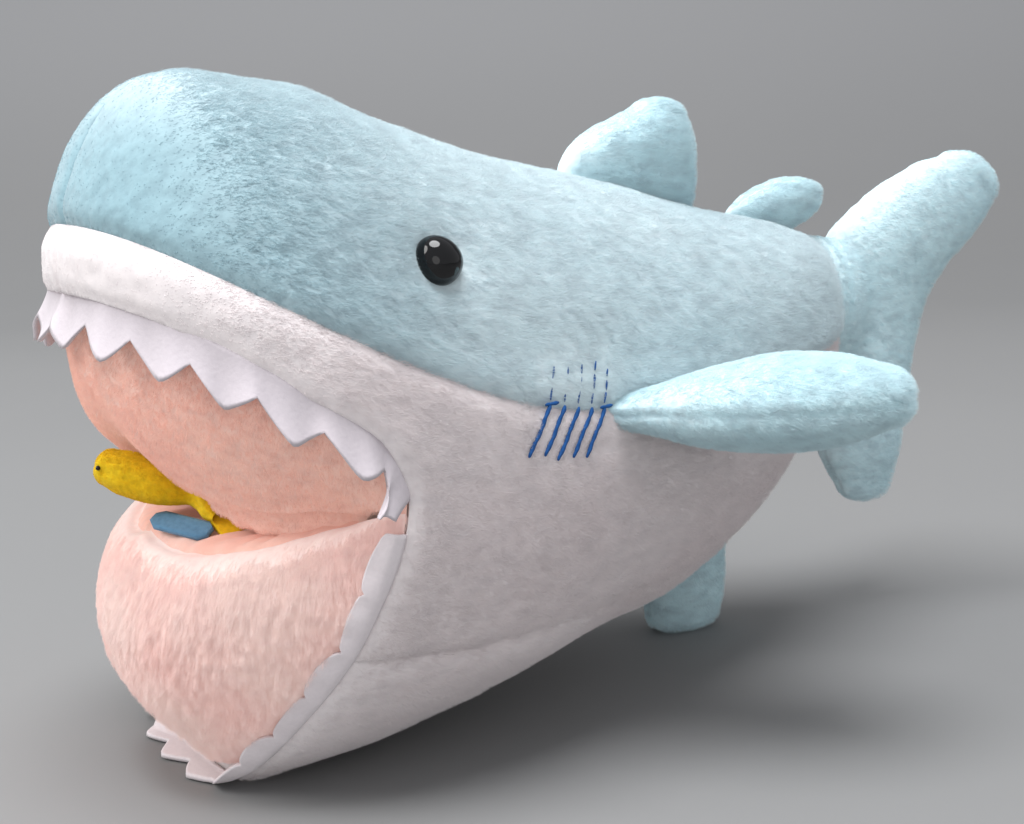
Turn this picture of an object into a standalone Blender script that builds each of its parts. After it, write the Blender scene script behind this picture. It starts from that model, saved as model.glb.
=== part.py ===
"""A stuffed plush shark with an open mouth and a small prey fish held in its throat.

Metres, +Z up. The nose points to -Y, the tail to +Y and the shark's left side is +X. The belly rests
on the plane z = 0. Each cloth panel, wad of filling, felt trim, eye and fin is its own object.
"""
import functools
import math

import bmesh
import bpy
import numpy as np
from mathutils import Matrix, Vector

COLLECTION = "plush_shark"

# The tables below measure y from a point over the belly; the frame's origin is under the box's centre
BOX_CENTRE_Y = 0.01696

# Cloth, felt and clearances
SKIN = 0.0022
FIN_CLOTH = 0.0016
LINING_CLOTH = 0.0020
FELT = 0.0012
GAP = 0.0004
FILLING_GAP = 0.0008
SEAM_GAP = 0.0003

# Trunk, from the forehead back: y, top, bottom, half width, height of the widest level
TRUNK = (
    (-0.110, 0.1710, -0.0030, 0.0604, 0.0880),
    (-0.086, 0.1680, 0.0005, 0.0660, 0.0780),
    (-0.064, 0.1600, 0.0050, 0.0660, 0.0750),
    (-0.038, 0.1515, 0.0105, 0.0625, 0.0730),
    (-0.016, 0.1465, 0.0160, 0.0570, 0.0740),
    (0.015, 0.1400, 0.0215, 0.0500, 0.0780),
    (0.045, 0.1330, 0.0335, 0.0420, 0.0850),
    (0.067, 0.1290, 0.0530, 0.0335, 0.0930),
    (0.082, 0.1260, 0.0700, 0.0250, 0.0980),
    (0.092, 0.1235, 0.0790, 0.0170, 0.1010),
)
NOSE_FROM = TRUNK[0][0]
NOSE_LENGTH = 0.0312
NOSE_LEVEL = 0.1120
NOSE_ROUNDNESS = 2.2
JAW_AT = TRUNK[1][0]
JAW_TO_NOSE = 0.0560
SQUARENESS = 0.93
TRUNK_SIDES = 28

# Seam and rim lines in side view, each read as one coordinate against the other
COLOUR_SEAM = ((-0.170, 0.1540), (-0.136, 0.1350), (-0.112, 0.1205), (-0.083, 0.1050),
               (-0.050, 0.0925), (-0.028, 0.0890), (0.040, 0.0900), (0.110, 0.0960))
BELLY_SEAM = ((-0.120, 0.0400), (-0.065, 0.0350), (0.000, 0.0345), (0.035, 0.0390),
              (0.075, 0.0640), (0.110, 0.0930))
MOUTH_RIM = ((-0.030, -0.1240), (0.000, -0.1130), (0.017, -0.1070), (0.046, -0.0945),
             (0.0755, -0.0865), (0.088, -0.0915), (0.103, -0.1120), (0.1147, -0.1290),
             (0.1230, -0.1450), (0.1320, -0.1680))
MOUTH_LEVEL = 0.0715

# Mouth linings
LINING_INSET = 0.0034
SLIT_HALF = 0.050
SLIT_CENTRE_Y = -0.1090
SLIT_END_Y = -0.0900
SLIT_Z = 0.0685
SLIT_DIP = 0.0045
SLIT_LIFT = 0.0065
SLIT_LIFT_WIDTH = 0.022
SLIT_DROP = 0.0025
PALATE_BULGE = 0.0105
JAW_BULGE = 0.0265
JAW_SQUARENESS = 0.80
JAW_TUCK = 0.60
JAW_FALL = 0.50
JAW_FALL_FROM = 0.40
JAW_FALL_OVER = 0.38
LINING_COLUMNS = 18
LINING_ROWS = 8
PADDING_BACK = 0.0042
PADDING_GAP = 0.0018

# Teeth
TEETH_A_SIDE = 7
UPPER_TOOTH = 0.0135
UPPER_ROOT = 0.0065
LOWER_TOOTH = 0.0075
LOWER_ROOT = 0.0030

# Eyes
EYE_Y = -0.0710
EYE_Z = 0.1268
EYE_RADIUS = 0.0060
EYE_HEIGHT = 0.0056
POST_RADIUS = 0.0013
POST_LENGTH = 0.0080
WASHER_RADIUS = 0.0065
WASHER_DEPTH = 0.0034
WASHER_THICKNESS = 0.0015

# Gill stitches: line i crosses the colour seam at GILL_Y + i * GILL_PITCH
GILLS = 5
GILL_Y = -0.0466
GILL_PITCH = 0.0041
GILL_ABOVE = 0.0110
GILL_BELOW = 0.0110
GILL_LEAN_ABOVE = 0.20
GILL_LEAN_BELOW = 0.42
THREAD_RADIUS = 0.0003

# Hinge lines of the fins
DORSAL_BASE = (-0.0015, 0.0473)
SECOND_BASE = (0.0600, 0.0870)
FIN_LIFT = 0.0017
VENTRAL_LEAN = -0.0080
PECTORAL_ROOT = (-0.0140, 0.0870)
PECTORAL_CLEARANCE = 0.0022
PECTORAL_TIP = (0.0960, 0.0460, 0.0890)
TAIL_HINGE_Y = 0.0955
TAIL_HINGE_Z = 0.1010
FIN_SIDES = 16

# Throat pocket and prey fish; FISH_WAY is the direction in which the fish pulls out
POCKET_FRONT = -0.1035
POCKET_DEPTH = 0.0150
POCKET_HALF = 0.0160
POCKET_HEIGHT = 0.0072
POCKET_CLOTH = 0.0014
FISH_NECK = (0.0070, -0.1135, 0.0700)
FISH_NOSE = (-0.0115, -0.1350, 0.0792)
FISH_WAY = (0.0, -0.9889, 0.1483)
FISH_SIDES = 14

COLOURS = {
    "blue_plush": ((0.36, 0.62, 0.70, 1.0), 0.95),
    "fin_plush": ((0.40, 0.72, 0.78, 1.0), 0.95),
    "white_plush": ((0.86, 0.82, 0.86, 1.0), 0.95),
    "palate_plush": ((0.80, 0.42, 0.34, 1.0), 0.95),
    "jaw_plush": ((0.88, 0.56, 0.47, 1.0), 0.95),
    "tooth_felt": ((0.88, 0.86, 0.90, 1.0), 0.90),
    "filling": ((0.93, 0.93, 0.91, 1.0), 1.00),
    "eye_plastic": ((0.01, 0.01, 0.012, 1.0), 0.08),
    "washer_plastic": ((0.85, 0.85, 0.83, 1.0), 0.45),
    "gill_thread": ((0.02, 0.09, 0.32, 1.0), 0.60),
    "fish_plush": ((0.80, 0.62, 0.03, 1.0), 0.90),
    "fish_felt": ((0.85, 0.66, 0.02, 1.0), 0.90),
    "blue_felt": ((0.12, 0.26, 0.42, 1.0), 0.90),
}


def clear_scene():
    for obj in list(bpy.data.objects):
        bpy.data.objects.remove(obj, do_unlink=True)


def make_collections():
    parts = bpy.data.collections.new(COLLECTION)
    cutters = bpy.data.collections.new("cutters")
    for collection in (parts, cutters):
        bpy.context.scene.collection.children.link(collection)
    return parts, cutters


def make_material(name):
    colour, roughness = COLOURS[name]
    material = bpy.data.materials.new(name)
    material.use_nodes = True
    shader = material.node_tree.nodes["Principled BSDF"]
    shader.inputs["Base Color"].default_value = colour
    shader.inputs["Roughness"].default_value = roughness
    shader.inputs["Metallic"].default_value = 0.0
    return material


clear_scene()
PARTS, CUTTERS = make_collections()
MATERIALS = {name: make_material(name) for name in COLOURS}


# Curves and meshes

def smooth_read(table, at):
    """Monotone cubic through a table of (position, value...) rows: no overshoot between the rows."""
    rows = np.array(table, float)
    x, values = rows[:, 0], rows[:, 1:]
    at = min(max(at, x[0]), x[-1])
    step = np.diff(x)[:, None]
    slope = np.diff(values, axis=0) / step
    tangent = np.zeros_like(values)
    tangent[0], tangent[-1] = slope[0], slope[-1]
    same = slope[:-1] * slope[1:] > 0
    middle = np.where(same, 2 * slope[:-1] * slope[1:] / np.where(same, slope[:-1] + slope[1:], 1), 0)
    tangent[1:-1] = middle
    i = min(int(np.searchsorted(x, at, side="right")) - 1, len(x) - 2)
    h = step[i, 0]
    t = (at - x[i]) / h
    return (
        (2 * t**3 - 3 * t**2 + 1) * values[i]
        + (t**3 - 2 * t**2 + t) * h * tangent[i]
        + (3 * t**2 - 2 * t**3) * values[i + 1]
        + (t**3 - t**2) * h * tangent[i + 1]
    )


def power(value, exponent):
    return math.copysign(abs(value) ** exponent, value)


def add_object(name, mesh, material, collection=None):
    obj = bpy.data.objects.new(name, mesh)
    (collection or PARTS).objects.link(obj)
    if material:
        mesh.materials.append(MATERIALS[material])
        mesh.shade_smooth()
        mesh.set_sharp_from_angle(angle=math.radians(40))
    return obj


def mesh_of(name, points, faces):
    mesh = bpy.data.meshes.new(name)
    mesh.from_pydata([tuple(p) for p in points], [], faces)
    mesh.validate()
    return mesh


def add_cutter(name, points, faces):
    obj = add_object(name, mesh_of(name, points, faces), None, CUTTERS)
    obj.hide_render = True
    obj.display_type = "WIRE"
    return obj


def add_boolean(obj, cutter, operation="DIFFERENCE"):
    modifier = obj.modifiers.new(operation.lower(), "BOOLEAN")
    modifier.operation = operation
    modifier.object = cutter
    modifier.solver = "EXACT"


def loft(rings, first=None, last=None):
    """Closed mesh through rings of one length. A pole closes an end, or a flat face where it is None."""
    sides = len(rings[0])
    points = [p for ring in rings for p in ring]
    faces = []
    for r in range(len(rings) - 1):
        for k in range(sides):
            a, b = r * sides + k, r * sides + (k + 1) % sides
            faces.append((a, b, b + sides, a + sides))
    for pole, ring, flip in ((first, 0, True), (last, len(rings) - 1, False)):
        border = [ring * sides + k for k in range(sides)]
        if flip:
            border.reverse()
        if pole is None:
            faces.append(tuple(border))
            continue
        points.append(pole)
        for k in range(sides):
            faces.append((border[k], border[(k + 1) % sides], len(points) - 1))
    return points, outward(points, faces)


def outward(points, faces):
    """The faces, all turned round if the mesh they close is inside out."""
    volume = 0.0
    for face in faces:
        a = Vector(points[face[0]])
        for i in range(1, len(face) - 1):
            volume += a.dot(Vector(points[face[i]]).cross(Vector(points[face[i + 1]])))
    return faces if volume > 0 else [tuple(reversed(face)) for face in faces]


def moved_along_normals(points, faces, distance):
    mesh = bmesh.new()
    for p in points:
        mesh.verts.new(p)
    mesh.verts.ensure_lookup_table()
    for face in faces:
        mesh.faces.new([mesh.verts[i] for i in face])
    mesh.normal_update()
    moved = [tuple(v.co + v.normal * distance) for v in mesh.verts]
    mesh.free()
    return moved


def grid_faces(rows, columns, start=0):
    return [
        (start + r * columns + c, start + r * columns + c + 1,
         start + (r + 1) * columns + c + 1, start + (r + 1) * columns + c)
        for r in range(rows - 1)
        for c in range(columns - 1)
    ]


def slab(front, back, rows, columns):
    """Closed solid between two grids of points with the same rows and columns."""
    count = rows * columns
    faces = grid_faces(rows, columns)
    faces += [tuple(reversed(face)) for face in grid_faces(rows, columns, count)]
    border = [c for c in range(columns)]
    border += [r * columns + columns - 1 for r in range(1, rows)]
    border += [(rows - 1) * columns + c for c in range(columns - 2, -1, -1)]
    border += [r * columns for r in range(rows - 2, 0, -1)]
    for i, a in enumerate(border):
        b = border[(i + 1) % len(border)]
        faces.append((b, a, a + count, b + count))
    points = list(front) + list(back)
    return points, outward(points, faces)


def prism(name, outline, low_x, high_x):
    """Cutter with the outline, a list of (y, z), drawn out along X."""
    rings = [[(x, y, z) for y, z in outline] for x in (low_x, high_x)]
    return add_cutter(name, *loft(rings))


# Trunk

def trunk_section(y):
    """Top, bottom, half width and level of the widest point of the trunk at y."""
    top, bottom, half, level = smooth_read(TRUNK, y)
    if y < JAW_AT:
        half = TRUNK[1][3] * math.sqrt(max(0.0, 1 - ((JAW_AT - y) / JAW_TO_NOSE) ** 2))
    if y < NOSE_FROM:
        share = min((NOSE_FROM - y) / NOSE_LENGTH, 1.0)
        round_top = (1 - share**NOSE_ROUNDNESS) ** (1 / NOSE_ROUNDNESS)
        top = NOSE_LEVEL + (top - NOSE_LEVEL) * round_top
        bottom = NOSE_LEVEL + (bottom - NOSE_LEVEL) * math.sqrt(1 - share**2)
        level += (NOSE_LEVEL - level) * share
    return top, bottom, half, level


def trunk_point(y, angle):
    """Point of the trunk's surface at y, at an angle from the top towards +X."""
    top, bottom, half, level = trunk_section(y)
    reach = (top - level) if math.cos(angle) > 0 else (level - bottom)
    return (half * power(math.sin(angle), SQUARENESS), y,
            level + reach * power(math.cos(angle), SQUARENESS))


def trunk_half_width(y, z):
    """Half width of the trunk at y and z, or 0 outside it."""
    top, bottom, half, level = trunk_section(y)
    reach = (top - level) if z > level else (level - bottom)
    share = abs(z - level) / max(reach, 1e-6)
    if share >= 1:
        return 0.0
    cosine = share ** (1 / SQUARENESS)
    return half * math.sqrt(1 - cosine**2) ** SQUARENESS


def trunk_normal(y, z):
    """Outward direction of the left flank at y and z."""
    step = 0.0005
    along = (trunk_half_width(y + step, z) - trunk_half_width(y - step, z)) / (2 * step)
    upward = (trunk_half_width(y, z + step) - trunk_half_width(y, z - step)) / (2 * step)
    return Vector((1.0, -along, -upward)).normalized()


def on_flank(y, z, side, lift=0.0):
    """Point at a height above the flank; side is 1 for the left and -1 for the right."""
    point = Vector((trunk_half_width(y, z), y, z)) + trunk_normal(y, z) * lift
    return Vector((point.x * side, point.y, point.z))


def trunk_body(inset):
    """Closed trunk, moved inwards by inset, with its underside flat at that height."""
    stations = [NOSE_FROM - NOSE_LENGTH * math.sin(math.radians(a)) for a in (80, 68, 54, 40, 26, 12)]
    stations += list(np.linspace(NOSE_FROM, TRUNK[-1][0], 17))
    angles = [2 * math.pi * k / TRUNK_SIDES for k in range(TRUNK_SIDES)]
    rings = [[trunk_point(y, a) for a in angles] for y in stations]
    nose = (0.0, NOSE_FROM - NOSE_LENGTH, NOSE_LEVEL)
    rear = (0.0, TRUNK[-1][0] + 0.0005, TRUNK[-1][4])
    points, faces = loft(rings, nose, rear)
    points = [(x, y, max(z, 0.0)) for x, y, z in points]
    points = moved_along_normals(points, faces, -inset)
    return [(x, y, max(z, inset)) for x, y, z in points], faces


def skin_mesh(name):
    """Cloth layer of the whole trunk: its outer face and, turned inwards, its inner face."""
    outer, faces = trunk_body(0.0)
    inner, _ = trunk_body(SKIN)
    inside = [tuple(len(outer) + i for i in reversed(face)) for face in faces]
    return mesh_of(name, outer + inner, faces + inside)


# Lines on the trunk

def seam_line(table, shift, low, high, count=22):
    return [(y, float(smooth_read(table, y)[0]) + shift) for y in np.linspace(low, high, count)]


@functools.lru_cache
def rim_line(back=0.0, low=-0.028, high=0.131, count=40):
    """Mouth rim in side view as (y, z), lower lip first, moved into the trunk by back."""
    heights = np.linspace(low, high, count)
    depths = np.array([float(smooth_read(MOUTH_RIM, z)[0]) for z in heights])
    slope = np.gradient(depths, heights)
    length = np.sqrt(1 + slope**2)
    return [(y + back / n, z - back * s / n) for y, z, s, n in zip(depths, heights, slope, length)]


def rim_depth(z, back=0.0):
    line = rim_line(back)
    return float(np.interp(z, [p[1] for p in line], [p[0] for p in line]))


@functools.lru_cache
def rim_point(angle, inset=0.0):
    """Point of the rim at an angle from straight up towards +X, seen from the front."""
    near, far = 0.0, 0.2
    for _ in range(40):
        reach = (near + far) / 2
        z = MOUTH_LEVEL + reach * math.cos(angle)
        inside = abs(reach * math.sin(angle)) < trunk_half_width(rim_depth(z), z)
        near, far = (reach, far) if inside else (near, reach)
    reach = near - inset
    z = max(MOUTH_LEVEL + reach * math.cos(angle), inset)
    return Vector((reach * math.sin(angle), rim_depth(z), z))


# Outer panels

def side_range(side):
    edge = SEAM_GAP / 2
    return (edge, 0.12) if side > 0 else (-0.12, -edge)


def add_back_panel(side, word, eye_hole):
    obj = add_object(f"back_panel_{word}", skin_mesh(f"back_panel_{word}"), "blue_plush")
    outline = seam_line(COLOUR_SEAM, SEAM_GAP / 2, -0.160, 0.0915) + [(0.0915, 0.25), (-0.160, 0.25)]
    add_boolean(obj, prism(f"back_region_{word}", outline, *side_range(side)), "INTERSECT")
    add_boolean(obj, eye_hole)


def add_flank_panel(side, word):
    """White flank, which runs on round the upper lip to the nose."""
    obj = add_object(f"flank_panel_{word}", skin_mesh(f"flank_panel_{word}"), "white_plush")
    outline = seam_line(COLOUR_SEAM, -SEAM_GAP / 2, -0.160, 0.0915)
    start = rim_crossing()
    outline += list(reversed(seam_line(BELLY_SEAM, SEAM_GAP / 2, start, 0.0915)))
    corner = outline[-1][1]
    outline += [p for p in rim_line() if p[1] > corner + 0.001 and p[0] > -0.159]
    add_boolean(obj, prism(f"flank_region_{word}", outline, *side_range(side)), "INTERSECT")


def rim_crossing():
    """y at which the belly seam meets the mouth rim."""
    y = JAW_AT
    for _ in range(30):
        y = rim_depth(float(smooth_read(BELLY_SEAM, y)[0]))
    return y


def add_belly_gusset():
    obj = add_object("belly_gusset", skin_mesh("belly_gusset"), "white_plush")
    start = rim_crossing()
    outline = seam_line(BELLY_SEAM, -SEAM_GAP / 2, start, 0.0915)
    floor = -0.02
    outline += [(0.0915, floor)]
    outline += [p for p in rim_line() if floor <= p[1] < outline[0][1] - 0.001]
    add_boolean(obj, prism("gusset_region", outline, -0.12, 0.12), "INTERSECT")


def add_body_stuffing(pockets):
    points, faces = trunk_body(SKIN + FILLING_GAP)
    obj = add_object("body_stuffing", mesh_of("body_stuffing", points, faces), "filling")
    outline = rim_line(PADDING_BACK + GAP) + [(-0.25, 0.135), (-0.25, -0.05), (-0.10, -0.05)]
    add_boolean(obj, prism("mouth_region", outline, -0.12, 0.12))
    for pocket in pockets:
        add_boolean(obj, pocket)


# Mouth linings

def slit_point(share, above):
    """Point of the throat slit, from -1 at the right end to 1 at the left; above is 1 or -1."""
    x = SLIT_HALF * share
    y = SLIT_CENTRE_Y + (SLIT_END_Y - SLIT_CENTRE_Y) * share**2
    z = SLIT_Z - SLIT_DIP * math.sin(math.pi * abs(share)) + above * GAP
    z += (SLIT_LIFT if above > 0 else -SLIT_DROP) * math.exp(-((x / SLIT_LIFT_WIDTH) ** 2))
    return Vector((x, y, z))


def palate_point(share, v):
    slit = slit_point(share, 1)
    rim = rim_point(math.radians(88) * share, LINING_INSET)
    chord = rim - slit
    out = Vector((0.0, -chord.z, chord.y)).normalized()
    swell = PALATE_BULGE * math.sin(math.pi * v) * (1 - 0.7 * abs(share) ** 3)
    return slit.lerp(rim, v) + out * swell


def jaw_point(share, v):
    slit = slit_point(share, -1)
    rim = rim_point(math.pi - math.radians(88) * share, LINING_INSET)
    turn = math.pi * (0.5 - v)
    reach = JAW_BULGE * (1 - 0.85 * abs(share) ** 3)
    forward = Vector((0.0, -reach, 0.0))
    spread = 0.5 - 0.5 * power(math.sin(turn), JAW_SQUARENESS)
    fall = min(max((v - JAW_FALL_FROM) / JAW_FALL_OVER, 0.0), 1.0)
    fullness = (1 - JAW_TUCK * v**2) * (1 - JAW_FALL * fall * fall * (3 - 2 * fall))
    return slit.lerp(rim, spread) + forward * abs(math.cos(turn)) ** JAW_SQUARENESS * fullness


def lining_grid(surface, lowest, highest, edge, rows, columns):
    shares = np.linspace(-edge, edge, columns)
    levels = np.linspace(lowest, highest, rows)
    return [tuple(surface(s, v)) for v in levels for s in shares]


def behind(grid, rows, columns, distance):
    """The grid moved into the trunk, against the way its faces look."""
    faces = grid_faces(rows, columns)
    moved = moved_along_normals(grid, faces, distance)
    back = sum(m[1] - g[1] for m, g in zip(moved, grid))
    return moved if back > 0 else moved_along_normals(grid, faces, -distance)


def add_lining(name, surface, material):
    rows, columns = LINING_ROWS + 1, LINING_COLUMNS + 1
    grid = lining_grid(surface, 0.0, 1.0, 1.0, rows, columns)
    back = behind(grid, rows, columns, LINING_CLOTH)
    add_object(name, mesh_of(name, *slab(grid, back, rows, columns)), material)


def add_padding(name, surface, above):
    """Wad of filling between a lining and the front of the body's filling."""
    rows, columns = 6, 13
    grid = lining_grid(surface, 0.07, 0.92, 0.90, rows, columns)
    front = behind(grid, rows, columns, LINING_CLOTH + PADDING_GAP)
    limit = POCKET_HEIGHT / 2 + 0.0012
    back = []
    for x, y, z in front:
        level = SLIT_Z + above * limit
        z = max(z, level) if above > 0 else min(z, level)
        back.append((x, max(rim_depth(z, PADDING_BACK), y + 0.0005), z))
    add_object(name, mesh_of(name, *slab(front, back, rows, columns)), "filling")


def add_throat_pocket():
    """Flat cloth pocket behind the slit, open to the front."""
    def ring(y, half, height):
        level = SLIT_Z
        return [(half * power(math.cos(a), 0.7), y, level + height / 2 * power(math.sin(a), 0.7))
                for a in (2 * math.pi * (k + 0.5) / 16 for k in range(16))]

    end = POCKET_FRONT + POCKET_DEPTH
    wall = POCKET_CLOTH
    outer = [ring(POCKET_FRONT, POCKET_HALF, POCKET_HEIGHT), ring(end, POCKET_HALF, POCKET_HEIGHT)]
    inner = [ring(end - wall, POCKET_HALF - wall, POCKET_HEIGHT - 2 * wall),
             ring(POCKET_FRONT, POCKET_HALF - wall, POCKET_HEIGHT - 2 * wall)]
    points, faces = open_sock(outer, inner)
    add_object("throat_pocket", mesh_of("throat_pocket", points, faces), "palate_plush")


def open_sock(outer, inner, tip=None, inner_tip=None):
    """Closed wall through the outer rings to the far end and back through the inner rings."""
    rings = outer + inner
    sides = len(rings[0])
    points = [p for ring in rings for p in ring]
    faces = []
    for r in range(len(rings)):
        following = (r + 1) % len(rings)
        if r == len(outer) - 1:
            continue
        for k in range(sides):
            j = (k + 1) % sides
            faces.append((r * sides + k, r * sides + j, following * sides + j, following * sides + k))
    for ring, pole, flip in ((len(outer) - 1, tip, False), (len(outer), inner_tip, True)):
        border = [ring * sides + k for k in range(sides)]
        if flip:
            border.reverse()
        if pole is None:
            faces.append(tuple(border))
            continue
        points.append(pole)
        for k in range(sides):
            faces.append((border[k], border[(k + 1) % sides], len(points) - 1))
    return points, outward(points, faces)


# Teeth

def tooth_depth(share, root, length):
    """How far the felt strip reaches at a share of the way round, with pointed teeth."""
    phase = abs(share) * TEETH_A_SIDE % 1.0
    return root + (length - root) * (1 - abs(2 * phase - 1)) ** 0.9


def even_angles(start, end, count):
    """Angles that divide the rim between two angles into equal lengths."""
    fine = np.linspace(start, end, 161)
    places = [rim_point(a) for a in fine]
    run = np.concatenate([[0.0], np.cumsum([(b - a).length for a, b in zip(places, places[1:])])])
    return np.interp(np.linspace(0, run[-1], count), run, fine)


def add_teeth(name, root, length, upper):
    """Zigzag strip of felt along the rim; the lower teeth turn outwards on the right."""
    per_tooth = 4
    columns = 2 * TEETH_A_SIDE * per_tooth + 1
    sweep = math.radians(86)
    middle = 0.0 if upper else math.pi
    turn = 1 if upper else -1
    angles = even_angles(middle - turn * sweep, middle + turn * sweep, columns)
    front, back = [[], []], [[], []]
    for share, angle in zip(np.linspace(-1, 1, columns), angles):
        rim = rim_point(angle)
        radial = Vector((math.sin(angle), 0.0, math.cos(angle)))
        if upper:
            out = Vector((rim.x, -0.35 * (JAW_AT - rim.y), 0.0)).normalized()
            down = (out * 0.16 + Vector((0.0, -0.05, -1.0))).normalized()
            start = rim + Vector((0.0, -0.0008, -0.0006))
        else:
            flare = 0.75 / (1 + math.exp(share * 9))
            out = radial
            down = (Vector((0.0, -1.0, 0.0)) + radial * flare).normalized()
            start = rim + Vector((0.0, -0.0008, 0.0))
        depth = tooth_depth(share, root, length)
        for row, reach in enumerate((0.0, depth)):
            tip = start + down * reach
            for points, inset in ((front, 0.0002), (back, 0.0002 + FELT)):
                point = tip - out * inset
                point.z = max(point.z, 0.0003 + inset)
                points[row].append(tuple(point))
    grid = slab(front[0] + front[1], back[0] + back[1], 2, columns)
    add_object(name, mesh_of(name, *grid), "tooth_felt")


# Eyes

def add_turned(name, profile, closed, material, where, axis, steps=16, cutter=False):
    """Profile of (radius, height) points turned about an axis through where."""
    count = len(profile)
    edges = [(i, i + 1) for i in range(count - 1)] + ([(count - 1, 0)] if closed else [])
    mesh = bpy.data.meshes.new(name)
    mesh.from_pydata([(radius, 0.0, height) for radius, height in profile], edges, [])
    obj = add_object(name, mesh, None, CUTTERS if cutter else PARTS)
    obj.location = where
    obj.rotation_mode = "QUATERNION"
    obj.rotation_quaternion = Vector((0, 0, 1)).rotation_difference(axis)
    screw = obj.modifiers.new("turn", "SCREW")
    screw.steps = steps
    screw.render_steps = steps
    screw.use_merge_vertices = True
    screw.merge_threshold = 0.00001
    screw.use_smooth_shade = True
    if cutter:
        obj.hide_render = True
        obj.display_type = "WIRE"
    else:
        mesh.materials.append(MATERIALS[material])
    return obj


def add_eye(side, word):
    """Safety eye: a dome on a post through the cloth, held inside by a washer."""
    where = on_flank(EYE_Y, EYE_Z, side)
    normal = trunk_normal(EYE_Y, EYE_Z)
    axis = Vector((normal.x * side, normal.y, normal.z))
    base = 0.0005
    dome = [(EYE_RADIUS * math.cos(a), base + 0.0012 + (EYE_HEIGHT - base - 0.0012) * math.sin(a))
            for a in np.linspace(math.pi / 2, 0, 6)]
    dome[0] = (0.0, EYE_HEIGHT)
    profile = dome + [(EYE_RADIUS * 0.9, base), (POST_RADIUS, base),
                      (POST_RADIUS, -POST_LENGTH), (0.0, -POST_LENGTH)]
    add_turned(f"eye_{word}", profile, False, "eye_plastic", where, axis)
    hole, low, high = POST_RADIUS + 0.0003, -WASHER_DEPTH - WASHER_THICKNESS, -WASHER_DEPTH
    ring = [(WASHER_RADIUS, high), (WASHER_RADIUS, low), (hole, low), (hole, high)]
    add_turned(f"eye_washer_{word}", ring, True, "washer_plastic", where, axis)
    reach = 0.004
    bore = [(0.0, reach), (hole + 0.0002, reach), (hole + 0.0002, -reach), (0.0, -reach)]
    wide = WASHER_RADIUS + 0.0006
    pocket = [(0.0, reach), (wide, reach), (wide, -POST_LENGTH - 0.001), (0.0, -POST_LENGTH - 0.001)]
    return (
        add_turned(f"eye_hole_{word}", bore, False, None, where, axis, 12, True),
        add_turned(f"washer_room_{word}", pocket, False, None, where, axis, 16, True),
    )


# Gill stitches

def add_gill_stitch(name, y, side):
    """Embroidered line across the colour seam, laid along the flank."""
    seam = float(smooth_read(COLOUR_SEAM, y)[0])
    curve = bpy.data.curves.new(name, "CURVE")
    curve.dimensions = "3D"
    curve.bevel_depth = THREAD_RADIUS
    curve.bevel_resolution = 1
    curve.use_fill_caps = True
    curve.materials.append(MATERIALS["gill_thread"])
    heights = np.linspace(-GILL_BELOW, GILL_ABOVE, 6)
    spline = curve.splines.new("POLY")
    spline.points.add(len(heights) - 1)
    for point, height in zip(spline.points, heights):
        lean = GILL_LEAN_ABOVE if height > 0 else GILL_LEAN_BELOW
        where = on_flank(y + height * lean, seam + height, side, THREAD_RADIUS + GAP)
        point.co = (*where, 1.0)
    obj = bpy.data.objects.new(name, curve)
    PARTS.objects.link(obj)


# Fins

def fin_ring(centre, chord, thick, half_chord, half_thick):
    across = Vector(chord) * half_chord
    through = Vector(thick) * half_thick
    angles = (2 * math.pi * k / FIN_SIDES for k in range(FIN_SIDES))
    return [tuple(Vector(centre) + across * math.cos(a) + through * math.sin(a)) for a in angles]


def fin_rings(sections, inset, skip=0):
    """Rings of (centre, chord, thick, half chord, half thickness) sections, moved inwards by inset."""
    return [
        fin_ring(centre, chord, thick, half_chord - inset, half_thick - inset)
        for centre, chord, thick, half_chord, half_thick in sections[skip:]
    ]


def add_fin(name, sections, tip, material="fin_plush"):
    """Stuffed fin: a cloth cover open at the root, and its filling."""
    inner_rings = fin_rings(sections, FIN_CLOTH)
    last = Vector(sections[-1][0])
    inner_tip = Vector(tip).lerp(last, 0.5)
    cover = open_sock(fin_rings(sections, 0.0), list(reversed(inner_rings)), tip, tuple(inner_tip))
    add_object(f"{name}_cover", mesh_of(name, *cover), material)
    rings = fin_rings(sections, FIN_CLOTH + FILLING_GAP, 1)
    fill_tip = tuple(inner_tip.lerp(last, 0.5))
    add_object(f"{name}_stuffing", mesh_of(name, *loft(rings, None, fill_tip)), "filling")


def upright_sections(origin, along, up, table):
    """Sections stacked along up from rows of (height, centre, half chord, half thickness)."""
    sideways = (1.0, 0.0, 0.0)
    return [
        (tuple(Vector(origin) + Vector(up) * height + Vector(along) * centre), along, sideways, half, thick)
        for height, centre, half, thick in table
    ]


def back_line(base):
    """Hinge line on the back between two y places: its start, direction and upward normal."""
    low, high = (Vector((0.0, y, trunk_section(y)[0] + FIN_LIFT)) for y in base)
    along = (high - low).normalized()
    return low, tuple(along), (0.0, -along.z, along.y)


def add_dorsal_fin():
    origin, along, up = back_line(DORSAL_BASE)
    table = ((0.0, 0.0250, 0.0235, 0.0030), (0.0055, 0.0252, 0.0232, 0.0075),
             (0.0125, 0.0264, 0.0200, 0.0092), (0.0185, 0.0285, 0.0150, 0.0082),
             (0.0235, 0.0300, 0.0095, 0.0058))
    sections = upright_sections(origin, along, up, table)
    tip = Vector(origin) + Vector(up) * 0.0268 + Vector(along) * 0.0305
    add_fin("dorsal_fin", sections, tuple(tip))


def add_second_dorsal_fin():
    origin, along, up = back_line(SECOND_BASE)
    table = ((0.0, 0.0150, 0.0135, 0.0026), (0.0035, 0.0190, 0.0142, 0.0048),
             (0.0075, 0.0228, 0.0132, 0.0058), (0.0110, 0.0262, 0.0098, 0.0048))
    sections = upright_sections(origin, along, up, table)
    tip = Vector(origin) + Vector(up) * 0.0138 + Vector(along) * 0.0290
    add_fin("second_dorsal_fin", sections, tuple(tip))


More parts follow.
